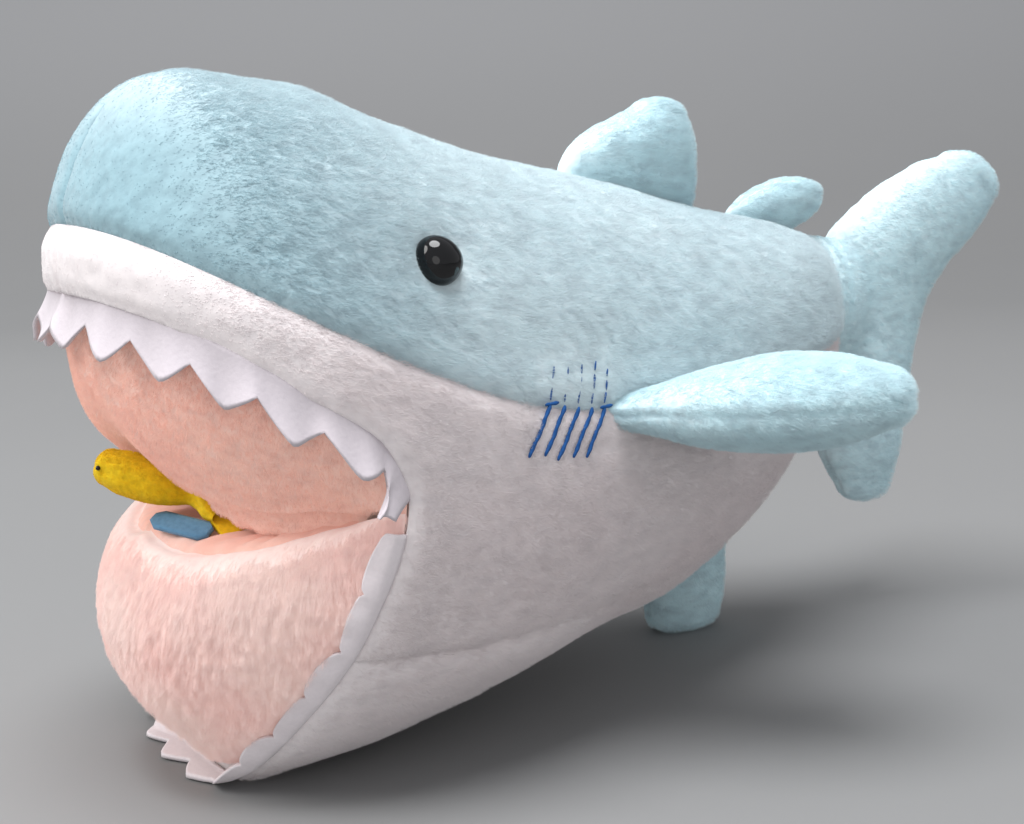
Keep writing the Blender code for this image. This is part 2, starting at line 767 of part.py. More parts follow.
def add_ventral_fin():
    """Belly fin that props up the rear; its foot is flat on the floor."""
    front, rear = 0.0330, 0.0590
    low = Vector((0.0, front, trunk_section(front)[1]))
    high = Vector((0.0, rear, trunk_section(rear)[1]))
    along = (high - low).normalized()
    root = (low + high) / 2 - Vector((0.0, -along.z, along.y)) * 0.0026
    level = Vector((0.0, 1.0, 0.0))
    rows = ((VENTRAL_LEAN * 0.45, 0.0490, 0.0225, 0.50, 0.0145, 0.0060),
            (VENTRAL_LEAN * 0.80, 0.0500, 0.0110, 0.85, 0.0135, 0.0078),
            (VENTRAL_LEAN, 0.0505, 0.0032, 1.0, 0.0125, 0.0078),
            (VENTRAL_LEAN, 0.0505, 0.0, 1.0, 0.0105, 0.0062))
    sections = [(tuple(root), tuple(along), (1.0, 0.0, 0.0), 0.0150, 0.0026)]
    for x, y, z, turn, half, thick in rows:
        chord = tuple(along.lerp(level, turn).normalized())
        sections.append(((x, y, z), chord, (1.0, 0.0, 0.0), half, thick))
    inner = [(Vector(s[0]), s[1], s[2], s[3], s[4]) for s in sections]
    inner[-1] = (inner[-1][0] + Vector((0.0, 0.0, FIN_CLOTH)), *inner[-1][1:])
    cover = open_sock(fin_rings(sections, 0.0), list(reversed(fin_rings(inner, FIN_CLOTH))))
    add_object("ventral_fin_cover", mesh_of("ventral_fin_cover", *cover), "fin_plush")
    fill = inner[1:]
    fill[-1] = (fill[-1][0] + Vector((0.0, 0.0, GAP)), *fill[-1][1:])
    rings = fin_rings(fill, FIN_CLOTH + GAP)
    add_object("ventral_fin_stuffing", mesh_of("ventral_fin_stuffing", *loft(rings)), "filling")


def add_pectoral_fin(side, word):
    """Side fin, swept back; its hinge line follows the flank at the root."""
    y, z = PECTORAL_ROOT
    root = on_flank(y, z, 1, PECTORAL_CLEARANCE)
    hinge = (on_flank(y + 0.012, z, 1) - on_flank(y - 0.012, z, 1)).normalized()
    reach = Vector(PECTORAL_TIP) - root
    across = Vector((0, 0, 1)).cross(reach).normalized()
    rows = ((0.00, 0.0130, 0.0026), (0.10, 0.0150, 0.0052), (0.30, 0.0190, 0.0090),
            (0.52, 0.0205, 0.0108), (0.74, 0.0190, 0.0102), (0.90, 0.0135, 0.0075))
    sections = []
    for share, half, thick in rows:
        centre = root + reach * share
        chord = hinge.lerp(across, min(share * 1.4, 1.0)).normalized()
        sections.append((centre, chord, Vector((0, 0, 1)), half, thick))
    mirrored = [
        (tuple(mirror(c, side)), tuple(mirror(d, side)), tuple(t), a, b) for c, d, t, a, b in sections
    ]
    add_fin(f"pectoral_fin_{word}", mirrored, tuple(mirror(Vector(PECTORAL_TIP), side)))


def mirror(point, side):
    return Vector((point.x * side, point.y, point.z))


# Tail

def tail_sections():
    """Sections of the crescent from the lower lobe to the upper lobe, as (y, z) edge pairs."""
    pairs = (((0.110, 0.0405), (0.132, 0.0400), 0.0050), ((0.1025, 0.0520), (0.1345, 0.0500), 0.0078),
             ((0.1000, 0.0680), (0.1360, 0.0650), 0.0092), ((0.0995, 0.0880), (0.1400, 0.0840), 0.0100),
             ((0.1040, 0.1190), (0.1440, 0.0960), 0.0100), ((0.1240, 0.1350), (0.1570, 0.1120), 0.0096),
             ((0.1400, 0.1425), (0.1690, 0.1205), 0.0088), ((0.1560, 0.1465), (0.1780, 0.1300), 0.0068))
    sections = []
    for (y0, z0), (y1, z1), thick in pairs:
        front, rear = Vector((0.0, y0, z0)), Vector((0.0, y1, z1))
        chord = rear - front
        along = tuple(chord.normalized())
        sections.append((tuple((front + rear) / 2), along, (1, 0, 0), chord.length / 2, thick))
    return sections


def tail_loft(inset):
    low, high = (0.0, 0.1215, 0.0335 + inset), (0.0, 0.1760 - inset, 0.1440 - inset / 2)
    return loft(fin_rings(tail_sections(), inset), low, high)


def tail_root(inset, start):
    """Neck of the tail, from start back into the crescent."""
    def ring(y, half_x, half_z):
        return [(half_x * math.cos(a), y, TAIL_HINGE_Z + half_z * math.sin(a))
                for a in (2 * math.pi * k / 20 for k in range(20))]

    rows = ((start, 0.0062, 0.0190), (0.1020, 0.0088, 0.0200), (0.1130, 0.0086, 0.0170))
    return loft([ring(y, x - inset, z - inset) for y, x, z in rows])


def add_tail_fin():
    cover = add_object("tail_fin_cover", mesh_of("tail_fin_cover", *tail_loft(0.0)), "fin_plush")
    add_boolean(cover, add_cutter("tail_root_outer", *tail_root(0.0, TAIL_HINGE_Y)), "UNION")
    add_boolean(cover, add_cutter("tail_hollow", *tail_loft(FIN_CLOTH)))
    add_boolean(cover, add_cutter("tail_root_hollow", *tail_root(FIN_CLOTH, TAIL_HINGE_Y - 0.002)))
    inset = FIN_CLOTH + GAP
    filling = add_object("tail_fin_stuffing", mesh_of("tail_fin_stuffing", *tail_loft(inset)), "filling")
    add_boolean(filling, add_cutter("tail_root_filling", *tail_root(inset, TAIL_HINGE_Y + 0.002)), "UNION")


# Prey fish

def fish_frame():
    neck, nose = Vector(FISH_NECK), Vector(FISH_NOSE)
    along = (nose - neck).normalized()
    side = Vector((0, 0, 1)).cross(along).normalized()
    return neck, nose, along, side, along.cross(side)


def fish_sections():
    neck, nose, _, side, up = fish_frame()
    rows = ((0.0, 0.0021, 0.0019), (0.16, 0.0034, 0.0032), (0.40, 0.0050, 0.0048),
            (0.66, 0.0055, 0.0053), (0.86, 0.0043, 0.0042))
    return [(tuple(neck.lerp(nose, t)), tuple(side), tuple(up), a, b) for t, a, b in rows]


def add_leaf(name, outline, centre, across, along, thickness, material):
    """Flat felt piece: an outline of (across, along) points given a thickness."""
    up = Vector(across).cross(Vector(along)).normalized() * thickness
    flat = [Vector(centre) + Vector(across) * a + Vector(along) * b for a, b in outline]
    rings = [[tuple(p) for p in flat], [tuple(p + up) for p in flat]]
    add_object(name, mesh_of(name, *loft(rings)), material)


def add_fish():
    sections = fish_sections()
    neck, nose, along, side, up = fish_frame()
    wall = 0.0010
    inner_rings = fin_rings(sections, wall)
    inner_tip = nose - along * 0.0012
    cover = open_sock(fin_rings(sections, 0.0), list(reversed(inner_rings)), tuple(nose), tuple(inner_tip))
    add_object("fish_cover", mesh_of("fish_cover", *cover), "fish_plush")
    rings = fin_rings(sections, wall + 0.0003, 1)
    fill_tip = nose - along * 0.0020
    add_object("fish_stuffing", mesh_of("fish_stuffing", *loft(rings, None, tuple(fill_tip))), "filling")
    way = Vector(FISH_WAY)
    tail_at = neck - way * 0.0016 + Vector((0, 0, FELT / 2))
    wedge = ((0.0016, 0.0), (0.0046, -0.0062), (0.0020, -0.0066), (0.0020, -0.0128),
             (-0.0020, -0.0128), (-0.0020, -0.0066), (-0.0046, -0.0062), (-0.0016, 0.0))
    add_leaf("fish_tail", wedge, tail_at, (1.0, 0.0, 0.0), way, FELT, "fish_felt")
    flat = Vector((along.x, along.y, 0.0)).normalized()
    beside = Vector((-flat.y, flat.x, 0.0))
    under = neck.lerp(nose, 0.22) - Vector((0, 0, 0.0040 + FELT))
    leaf = ((0.0, -0.0060), (0.0042, -0.0030), (0.0048, 0.0040), (0.0, 0.0080), (-0.0048, 0.0040),
            (-0.0042, -0.0030))
    add_leaf("fish_fin", leaf, under, beside, flat, FELT, "blue_felt")
    for sign, word in ((1, "left"), (-1, "right")):
        where = neck.lerp(nose, 0.80) + (side * 0.0046 + up * 0.0012) * sign
        axis = (side * sign + up * 0.25 * sign).normalized()
        bead = [(0.0, 0.0009), (0.0006, 0.0007), (0.0008, 0.0), (0.0006, -0.0001), (0.0, -0.0001)]
        where = where + axis * 0.0008
        add_turned(f"fish_eye_{word}", bead, False, "eye_plastic", where, axis, 8)


# Frame and hinges

def add_empty(name, where, parent=None):
    empty = bpy.data.objects.new(name, None)
    PARTS.objects.link(empty)
    empty.empty_display_size = 0.01
    empty.location = where
    empty.parent = parent
    return empty


def hang(children, empty):
    """Parent the named pieces to an empty, which leaves them where they are."""
    for name in children:
        child = bpy.data.objects[name]
        child.parent = empty
        child.matrix_parent_inverse = Matrix.Translation(-empty.location)


def place_in_frame():
    """Hang every moving piece on its hinge, and the whole shark on one empty over its box's centre."""
    frame = add_empty("shark_frame", (0.0, 0.0, 0.0))
    hinges = {
        "dorsal_fin": back_line(DORSAL_BASE)[0],
        "second_dorsal_fin": back_line(SECOND_BASE)[0],
        "tail_fin": (0.0, TAIL_HINGE_Y, TAIL_HINGE_Z),
        "pectoral_fin_left": on_flank(*PECTORAL_ROOT, 1, PECTORAL_CLEARANCE),
        "pectoral_fin_right": on_flank(*PECTORAL_ROOT, -1, PECTORAL_CLEARANCE),
    }
    for name, where in hinges.items():
        hang((f"{name}_cover", f"{name}_stuffing"), add_empty(f"{name}_hinge", where, frame))
    fish = [obj.name for obj in PARTS.objects if obj.name.startswith("fish_")]
    hang(fish, add_empty("fish_slide", FISH_NECK, frame))
    for obj in list(PARTS.objects) + list(CUTTERS.objects):
        if obj.parent is None and obj != frame:
            obj.parent = frame
    frame.location.y = -BOX_CENTRE_Y


def main():
    holes, pockets = {}, []
    for side, word in ((1, "left"), (-1, "right")):
        holes[word], room = add_eye(side, word)
        pockets.append(room)
    for side, word in ((1, "left"), (-1, "right")):
        add_back_panel(side, word, holes[word])
        add_flank_panel(side, word)
        add_pectoral_fin(side, word)
        for i in range(GILLS):
            add_gill_stitch(f"gill_stitch_{word}_{i + 1}", GILL_Y + i * GILL_PITCH, side)
    add_belly_gusset()
    add_body_stuffing(pockets)
    add_lining("palate_lining", palate_point, "palate_plush")
    add_lining("jaw_lining", jaw_point, "jaw_plush")
    add_padding("palate_stuffing", palate_point, 1)
    add_padding("jaw_stuffing", jaw_point, -1)
    add_throat_pocket()
    add_teeth("upper_teeth", UPPER_ROOT, UPPER_TOOTH, True)
    add_teeth("lower_teeth", LOWER_ROOT, LOWER_TOOTH, False)
    add_dorsal_fin()
    add_second_dorsal_fin()
    add_ventral_fin()
    add_tail_fin()
    add_fish()
    place_in_frame()


main()
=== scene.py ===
"""Looks of the plush shark: pile cloth over filling, sewn seams, felt teeth, bead eyes and embroidered gills.

Lengths are in metres. The shape tables measure y from a point over the belly, as the CAD does, and
FRAME_SHIFT moves a finished mesh into the frame.
"""
import math

import bmesh
import bpy
import numpy as np
from mathutils import Matrix, Vector, noise


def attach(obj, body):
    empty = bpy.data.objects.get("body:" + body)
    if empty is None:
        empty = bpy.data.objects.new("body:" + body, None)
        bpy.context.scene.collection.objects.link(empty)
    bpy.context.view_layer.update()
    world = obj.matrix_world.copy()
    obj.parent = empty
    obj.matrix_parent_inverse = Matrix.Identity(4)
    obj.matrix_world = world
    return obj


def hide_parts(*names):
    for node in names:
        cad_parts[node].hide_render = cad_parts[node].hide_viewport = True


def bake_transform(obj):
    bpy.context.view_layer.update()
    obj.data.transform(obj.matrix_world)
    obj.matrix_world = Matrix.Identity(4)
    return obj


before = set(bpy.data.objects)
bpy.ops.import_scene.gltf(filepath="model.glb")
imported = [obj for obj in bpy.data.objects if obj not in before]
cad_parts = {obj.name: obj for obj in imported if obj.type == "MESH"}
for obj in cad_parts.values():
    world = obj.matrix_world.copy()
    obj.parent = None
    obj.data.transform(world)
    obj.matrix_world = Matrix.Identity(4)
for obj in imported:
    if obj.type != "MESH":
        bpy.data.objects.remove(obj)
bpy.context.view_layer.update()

FRAME_SHIFT = Vector((0.0, -0.01696, 0.0))
MM = 0.001

# Trunk, from the forehead back: y, top, bottom, half width, height of the widest level
TRUNK = (
    (-0.110, 0.1710, -0.0030, 0.0604, 0.0880),
    (-0.086, 0.1680, 0.0005, 0.0660, 0.0780),
    (-0.064, 0.1600, 0.0050, 0.0660, 0.0750),
    (-0.038, 0.1515, 0.0105, 0.0625, 0.0730),
    (-0.016, 0.1465, 0.0160, 0.0570, 0.0740),
    (0.015, 0.1400, 0.0215, 0.0500, 0.0780),
    (0.045, 0.1330, 0.0335, 0.0420, 0.0850),
    (0.067, 0.1290, 0.0530, 0.0335, 0.0930),
    (0.082, 0.1260, 0.0700, 0.0250, 0.0980),
    (0.092, 0.1235, 0.0790, 0.0170, 0.1010),
)
NOSE_FROM = TRUNK[0][0]
NOSE_LENGTH = 0.0312
NOSE_LEVEL = 0.1120
NOSE_ROUNDNESS = 2.2
JAW_AT = TRUNK[1][0]
JAW_HALF = TRUNK[1][3]
JAW_TO_NOSE = 0.0560
SQUARENESS = 0.93

# Seam and rim lines in side view, each read as one coordinate against the other
COLOUR_SEAM = ((-0.170, 0.1540), (-0.136, 0.1350), (-0.112, 0.1205), (-0.083, 0.1050),
               (-0.050, 0.0925), (-0.028, 0.0890), (0.040, 0.0900), (0.110, 0.0960))
BELLY_SEAM = ((-0.120, 0.0400), (-0.065, 0.0350), (0.000, 0.0345), (0.035, 0.0390),
              (0.075, 0.0640), (0.110, 0.0930))
MOUTH_RIM = ((-0.030, -0.1240), (0.000, -0.1130), (0.017, -0.1070), (0.046, -0.0945),
             (0.0755, -0.0865), (0.088, -0.0915), (0.103, -0.1120), (0.1147, -0.1290),
             (0.1230, -0.1450), (0.1320, -0.1680))
MOUTH_LEVEL = 0.0715

# Mouth linings and the slit between them
LINING_INSET = 0.0026
SLIT_HALF = 0.050
SLIT_CENTRE_Y = -0.1090
SLIT_END_Y = -0.0900
SLIT_Z = 0.0685
SLIT_DIP = 0.0045
SLIT_LIFT = 0.0065
SLIT_LIFT_WIDTH = 0.022
SLIT_DROP = 0.0025
PALATE_BULGE = 0.0105
JAW_BULGE = 0.0265
JAW_SQUARENESS = 0.80
JAW_TUCK = 0.60
JAW_FALL = 0.50
JAW_FALL_FROM = 0.40
JAW_FALL_OVER = 0.38
LIP_BAND = 0.16

# Teeth
TEETH_A_SIDE = 7
TEETH_END = 87
FELT = 0.0012

# Eyes, gills and hinge lines
EYE_Y = -0.0710
EYE_Z = 0.1268
GILLS = 5
GILL_Y = -0.0466
GILL_PITCH = 0.0041
GILL_SHIFT = 0.0016
GILL_SPREAD = 1.10
GILL_ABOVE = 0.0110
GILL_BELOW = 0.0110
GILL_LEAN_ABOVE = 0.35
GILL_LEAN_BELOW = 0.72
DORSAL_BASE = (-0.0015, 0.0473)
SECOND_BASE = (0.0600, 0.0870)
VENTRAL_LEAN = -0.0120
PECTORAL_ROOT = (-0.0140, 0.0870)
PECTORAL_TIP = (0.0910, 0.0405, 0.0890)
TAIL_HINGE_Y = 0.0955
TAIL_HINGE_Z = 0.1010

# Prey fish
FISH_NECK = (0.0070, -0.1135, 0.0700)
FISH_NOSE = (-0.0098, -0.1330, 0.0787)
FISH_TAIL_END = (0.0150, -0.1105, 0.0665)

SEED = 7


# Numbers

def read(table, at, column=1):
    """Monotone cubic through one column of a table, at every value of an array."""
    rows = np.array(table, float)
    x, value = rows[:, 0], rows[:, column]
    step = np.diff(x)
    slope = np.diff(value) / step
    tangent = np.zeros(len(x))
    tangent[0], tangent[-1] = slope[0], slope[-1]
    product, total = slope[:-1] * slope[1:], slope[:-1] + slope[1:]
    tangent[1:-1] = np.where(product > 0, 2 * product / np.where(product > 0, total, 1), 0)
    at = np.clip(np.asarray(at, float), x[0], x[-1])
    i = np.clip(np.searchsorted(x, at, side="right") - 1, 0, len(x) - 2)
    h = step[i]
    t = (at - x[i]) / h
    return (
        (2 * t**3 - 3 * t**2 + 1) * value[i]
        + (t**3 - 2 * t**2 + t) * h * tangent[i]
        + (3 * t**2 - 2 * t**3) * value[i + 1]
        + (t**3 - t**2) * h * tangent[i + 1]
    )


def power(value, exponent):
    return np.sign(value) * np.abs(value) ** exponent


def step_up(low, high, at):
    """0 below low, 1 above high and smooth between them."""
    t = np.clip((np.asarray(at, float) - low) / (high - low), 0, 1)
    return t * t * (3 - 2 * t)


def dip(distance, width):
    """1 on a line, fading away over the width."""
    return np.exp(-((distance / width) ** 2))


def noise_at(points, scale, seed=0):
    """Smooth noise from -1 to 1 at each point, with features about as large as the scale."""
    offset = Vector((seed * 7.31, seed * 3.17, seed * 5.77))
    return np.array([noise.noise(Vector(p) / scale + offset) for p in points])


# Trunk surface

def trunk_section(y):
    """Top, bottom, half width and level of the widest point of the trunk at y."""
    y = np.asarray(y, float)
    top, bottom, half, level = (read(TRUNK, y, column) for column in (1, 2, 3, 4))
    ahead = np.clip((JAW_AT - y) / JAW_TO_NOSE, 0, 1)
    half = np.where(y < JAW_AT, JAW_HALF * np.sqrt(1 - ahead**2), half)
    share = np.clip((NOSE_FROM - y) / NOSE_LENGTH, 0, 1)
    top = NOSE_LEVEL + (top - NOSE_LEVEL) * (1 - share**NOSE_ROUNDNESS) ** (1 / NOSE_ROUNDNESS)
    bottom = NOSE_LEVEL + (bottom - NOSE_LEVEL) * np.sqrt(1 - share**2)
    level = level + (NOSE_LEVEL - level) * share
    return top, bottom, half, level


def half_width(y, z):
    """Half width of the trunk at y and z, or 0 outside it."""
    top, bottom, half, level = trunk_section(y)
    reach = np.maximum(np.where(z > level, top - level, level - bottom), 1e-6)
    cosine = np.clip(np.abs(z - level) / reach, 0, 1) ** (1 / SQUARENESS)
    return half * np.sqrt(1 - cosine**2) ** SQUARENESS


def flank_normal(y, z):
    """Outward direction of the left flank at y and z."""
    step = 0.0005
    along = (half_width(y + step, z) - half_width(y - step, z)) / (2 * step)
    upward = (half_width(y, z + step) - half_width(y, z - step)) / (2 * step)
    return Vector((1.0, -float(along), -float(upward))).normalized()


def on_flank(y, z, side, lift=0.0):
    point = Vector((float(half_width(y, z)), y, z)) + flank_normal(y, z) * lift
    return Vector((point.x * side, point.y, point.z))


def rim_point(angle, inset=0.0):
    """Points of the mouth rim at angles from straight up towards +X, as rows."""
    angle = np.asarray(angle, float)
    near, far = np.zeros_like(angle), np.full_like(angle, 0.2)
    for _ in range(40):
        reach = (near + far) / 2
        z = MOUTH_LEVEL + reach * np.cos(angle)
        inside = np.abs(reach * np.sin(angle)) < half_width(read(MOUTH_RIM, z), z)
        near, far = np.where(inside, reach, near), np.where(inside, far, reach)
    reach = near - inset
    z = np.maximum(MOUTH_LEVEL + reach * np.cos(angle), inset)
    return np.stack([reach * np.sin(angle), read(MOUTH_RIM, z), z], axis=-1)


def slit_point(share, above):
    """Points of the throat slit, from -1 at the right end to 1 at the left; above is 1 or -1."""
    share = np.asarray(share, float)
    x = SLIT_HALF * share
    y = SLIT_CENTRE_Y + (SLIT_END_Y - SLIT_CENTRE_Y) * share**2
    z = SLIT_Z - SLIT_DIP * np.sin(np.pi * np.minimum(np.abs(share), 1))
    z = z + (SLIT_LIFT if above > 0 else -SLIT_DROP) * dip(x, SLIT_LIFT_WIDTH)
    return np.stack([x, y, z], axis=-1)


def palate_point(share, v):
    """Roof of the mouth, from the slit at v = 0 to the rim at v = 1."""
    slit = slit_point(share, 1)
    rim = rim_point(np.radians(91) * share, LINING_INSET)
    chord = rim - slit
    out = np.stack([np.zeros_like(chord[..., 0]), -chord[..., 2], chord[..., 1]], axis=-1)
    out /= np.maximum(np.linalg.norm(out, axis=-1, keepdims=True), 1e-9)
    swell = PALATE_BULGE * np.sin(np.pi * np.clip(v, 0, 1)) * (1 - 0.7 * np.abs(share) ** 3)
    return slit + chord * v[..., None] + out * swell[..., None]


def jaw_point(share, v):
    """Bulging lower mouth, from the slit at v = 0 to the rim at v = 1."""
    slit = slit_point(share, -1)
    rim = rim_point(np.pi - np.radians(91) * share, LINING_INSET)
    turn = np.pi * (0.5 - np.clip(v, 0, 1))
    reach = JAW_BULGE * (1 - 0.85 * np.abs(share) ** 3)
    spread = 0.5 - 0.5 * power(np.sin(turn), JAW_SQUARENESS)
    fall = step_up(JAW_FALL_FROM, JAW_FALL_FROM + JAW_FALL_OVER, v)
    fullness = (1 - JAW_TUCK * v**2) * (1 - JAW_FALL * fall)
    forward = reach * np.abs(np.cos(turn)) ** JAW_SQUARENESS * fullness
    point = slit + (rim - slit) * spread[..., None]
    point[..., 1] -= forward
    return point


# Meshes

def place_mesh(name, mesh, material):
    """Object of a finished mesh, moved into the frame."""
    mesh.materials.append(material)
    mesh.transform(Matrix.Translation(FRAME_SHIFT))
    mesh.shade_smooth()
    obj = bpy.data.objects.new(name, mesh)
    bpy.context.scene.collection.objects.link(obj)
    return obj


def make_object(name, points, faces, material):
    mesh = bpy.data.meshes.new(name)
    mesh.from_pydata([tuple(map(float, p)) for p in points], [], [tuple(map(int, f)) for f in faces])
    return place_mesh(name, mesh, material)


def turn_outward(obj):
    """Make every face of a closed piece look outwards."""
    mesh = bmesh.new()
    mesh.from_mesh(obj.data)
    bmesh.ops.recalc_face_normals(mesh, faces=mesh.faces)
    mesh.to_mesh(obj.data)
    mesh.free()
    return obj


def run_along(points):
    """Distance from the first point to each point of a path."""
    return np.concatenate([[0.0], np.cumsum(np.linalg.norm(np.diff(points, axis=0), axis=1))])


def grid_faces(rows, columns, wrap=False, start=0):
    """Quads of a grid of points; wrap joins the last column to the first."""
    across = columns if wrap else columns - 1
    return [
        (start + r * columns + c, start + r * columns + (c + 1) % columns,
         start + (r + 1) * columns + (c + 1) % columns, start + (r + 1) * columns + c)
        for r in range(rows - 1)
        for c in range(across)
    ]


def normals_of(points, faces):
    """Vertex normals of a mesh given as arrays."""
    mesh = bpy.data.meshes.new("scratch")
    mesh.from_pydata([tuple(p) for p in points], [], faces)
    normals = np.zeros(len(points) * 3, np.float32)
    mesh.vertices.foreach_get("normal", normals)
    bpy.data.meshes.remove(mesh)
    return normals.reshape(-1, 3).astype(float)


def weigh(obj, name, weights):
    group = obj.vertex_groups.new(name=name)
    for i, weight in enumerate(weights):
        group.add([i], float(weight), "REPLACE")


def finish_piece(obj, body, nodes=(), blend_to=None):
    """Hang a piece on its body's empty or, when blend_to is given, bake its place into its mesh; then hide
    the CAD parts it stands in for.
    """
    if blend_to:
        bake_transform(obj)
    else:
        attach(obj, body)
    if nodes:
        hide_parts(*nodes)


# Materials

def new_material(name):
    material = bpy.data.materials.new(name)
    material.use_nodes = True
    tree = material.node_tree
    return material, tree, tree.nodes["Principled BSDF"]


def add_noise(tree, coordinates, scale, detail=2.0, stretch=(1, 1, 1)):
    mapping = tree.nodes.new("ShaderNodeMapping")
    mapping.inputs["Scale"].default_value = stretch
    tree.links.new(coordinates, mapping.inputs["Vector"])
    node = tree.nodes.new("ShaderNodeTexNoise")
    node.inputs["Scale"].default_value = scale
    node.inputs["Detail"].default_value = detail
    tree.links.new(mapping.outputs["Vector"], node.inputs["Vector"])
    return node.outputs["Fac"]


def add_ramp(tree, value, stops):
    """Colour ramp from (position, colour) stops."""
    ramp = tree.nodes.new("ShaderNodeValToRGB")
    elements = ramp.color_ramp.elements
    while len(elements) < len(stops):
        elements.new(0.5)
    for element, (position, colour) in zip(elements, stops):
        element.position = position
        element.color = (*colour, 1.0)
    tree.links.new(value, ramp.inputs["Fac"])
    return ramp.outputs["Color"]


def add_mix(tree, amount, first, second, mode="MIX"):
    mix = tree.nodes.new("ShaderNodeMix")
    mix.data_type = "RGBA"
    mix.blend_type = mode
    for socket, source in zip((mix.inputs[key] for key in ("Factor", "A", "B")), (amount, first, second)):
        if isinstance(source, (int, float)):
            socket.default_value = source
        elif isinstance(source, tuple):
            socket.default_value = (*source, 1.0)
        else:
            tree.links.new(source, socket)
    return mix.outputs["Result"]


def cloth_material(name, colour, other, sheen=0.35, tuft=420.0, bump=0.35, along=(1, 0.35, 1), grain_and_tuft_shade=0.6,
                   painted_snout_shade=None, painted_glow=0.0):
    """Pile cloth: blotches where the pile leans, fine tufts with painted shade between them, a soft sheen,
    painted shade of a deeper colour far forward and low on the nose, and painted light from a faint emission
    that lifts the shade of deep pile."""
    material, tree, shader = new_material(name)
    place = tree.nodes.new("ShaderNodeTexCoord").outputs["Object"]
    blotch = add_noise(tree, place, 38.0, 3.0, along)
    tufts = add_noise(tree, place, tuft, 3.0, along)
    base = add_ramp(tree, blotch, ((0.36, other), (0.62, colour)))
    # Painted shade: far forward and low on the nose the colour turns deeper, standing in for pile seen
    # head-on looking darker.
    if painted_snout_shade:
        split = tree.nodes.new("ShaderNodeSeparateXYZ")
        tree.links.new(place, split.inputs["Vector"])
        amount = tree.nodes.new("ShaderNodeMath")
        amount.operation = "MULTIPLY"
        for index, (axis, start, end) in enumerate(painted_snout_shade[1:]):
            ahead = tree.nodes.new("ShaderNodeMapRange")
            ahead.interpolation_type = "SMOOTHSTEP"
            ahead.inputs["From Min"].default_value = start
            ahead.inputs["From Max"].default_value = end
            tree.links.new(split.outputs[axis], ahead.inputs["Value"])
            tree.links.new(ahead.outputs["Result"], amount.inputs[index])
        base = add_mix(tree, amount.outputs["Value"], base, painted_snout_shade[0])
    # Painted shade: the colour darkens where the tuft noise is low, where the bump sinks too, standing in for
    # shade between the tufts.
    shade = add_ramp(tree, tufts, ((0.30, (0.72, 0.72, 0.74)), (0.60, (1.0, 1.0, 1.0))))
    base = add_mix(tree, grain_and_tuft_shade, base, shade, "MULTIPLY")
    tree.links.new(base, shader.inputs["Base Color"])
    # Painted light: the colour is also emitted, faintly, to lift the shade that the strands cast in deep
    # pile.
    tree.links.new(base, shader.inputs["Emission Color"])
    shader.inputs["Emission Strength"].default_value = painted_glow
    shader.inputs["Roughness"].default_value = 0.92
    shader.inputs["Specular IOR Level"].default_value = 0.12
    shader.inputs["Sheen Weight"].default_value = sheen
    shader.inputs["Sheen Roughness"].default_value = 0.55
    height = tree.nodes.new("ShaderNodeBump")
    height.inputs["Strength"].default_value = bump
    height.inputs["Distance"].default_value = 0.0006
    tree.links.new(tufts, height.inputs["Height"])
    tree.links.new(height.outputs["Normal"], shader.inputs["Normal"])
    return material


def plain_material(name, colour, roughness, grain_and_tuft_shade, coat=0.0, specular=0.5):
    """Smooth plastic or thread with a slight speckle in its colour and surface."""
    material, tree, shader = new_material(name)
    place = tree.nodes.new("ShaderNodeTexCoord").outputs["Object"]
    fine = add_noise(tree, place, grain_and_tuft_shade, 2.0)
    darker = tuple(c * 0.75 for c in colour)
    tree.links.new(add_ramp(tree, fine, ((0.35, darker), (0.65, colour))), shader.inputs["Base Color"])
    shader.inputs["Roughness"].default_value = roughness
    shader.inputs["Coat Weight"].default_value = coat
    shader.inputs["Coat Roughness"].default_value = 0.03
    shader.inputs["Specular IOR Level"].default_value = specular
    height = tree.nodes.new("ShaderNodeBump")
    height.inputs["Strength"].default_value = 0.02
    height.inputs["Distance"].default_value = 0.0002
    tree.links.new(fine, height.inputs["Height"])
    tree.links.new(height.outputs["Normal"], shader.inputs["Normal"])
    return material


EVEN = (1, 1, 1)
# Painted shade: deeper blue ramped in towards the front and the bottom of the nose.
SNOUT_PAINTED_SHADE = ((0.27, 0.44, 0.50), ("Y", -0.070, -0.160), ("Z", 0.190, 0.150))
BLUE = cloth_material("blue_pile", (0.73, 0.84, 0.87), (0.70, 0.82, 0.855), painted_snout_shade=SNOUT_PAINTED_SHADE)
AQUA = cloth_material("fin_pile", (0.74, 0.92, 0.96), (0.70, 0.89, 0.94))
WHITE = cloth_material("white_pile", (0.88, 0.82, 0.82), (0.86, 0.79, 0.79), bump=0.15, grain_and_tuft_shade=0.3)
# Painted light: the palate and jaw pile emit a little of their colour to lift the shade of their deep pile.
PALATE = cloth_material("palate_pile", (1.0, 0.70, 0.60), (1.0, 0.65, 0.55), bump=0.15, grain_and_tuft_shade=0.4, painted_glow=0.06)
JAW = cloth_material("jaw_pile", (1.0, 0.83, 0.78), (1.0, 0.76, 0.71), sheen=0.5, grain_and_tuft_shade=0.3, painted_glow=0.08)
TOOTH = cloth_material("tooth_felt", (0.66, 0.60, 0.635), (0.62, 0.565, 0.60), 0.2, 900.0, 0.15, EVEN, 0.15)
BAND = cloth_material("band_pile", (1.0, 0.66, 0.56), (1.0, 0.59, 0.49), bump=0.15, grain_and_tuft_shade=0.25)
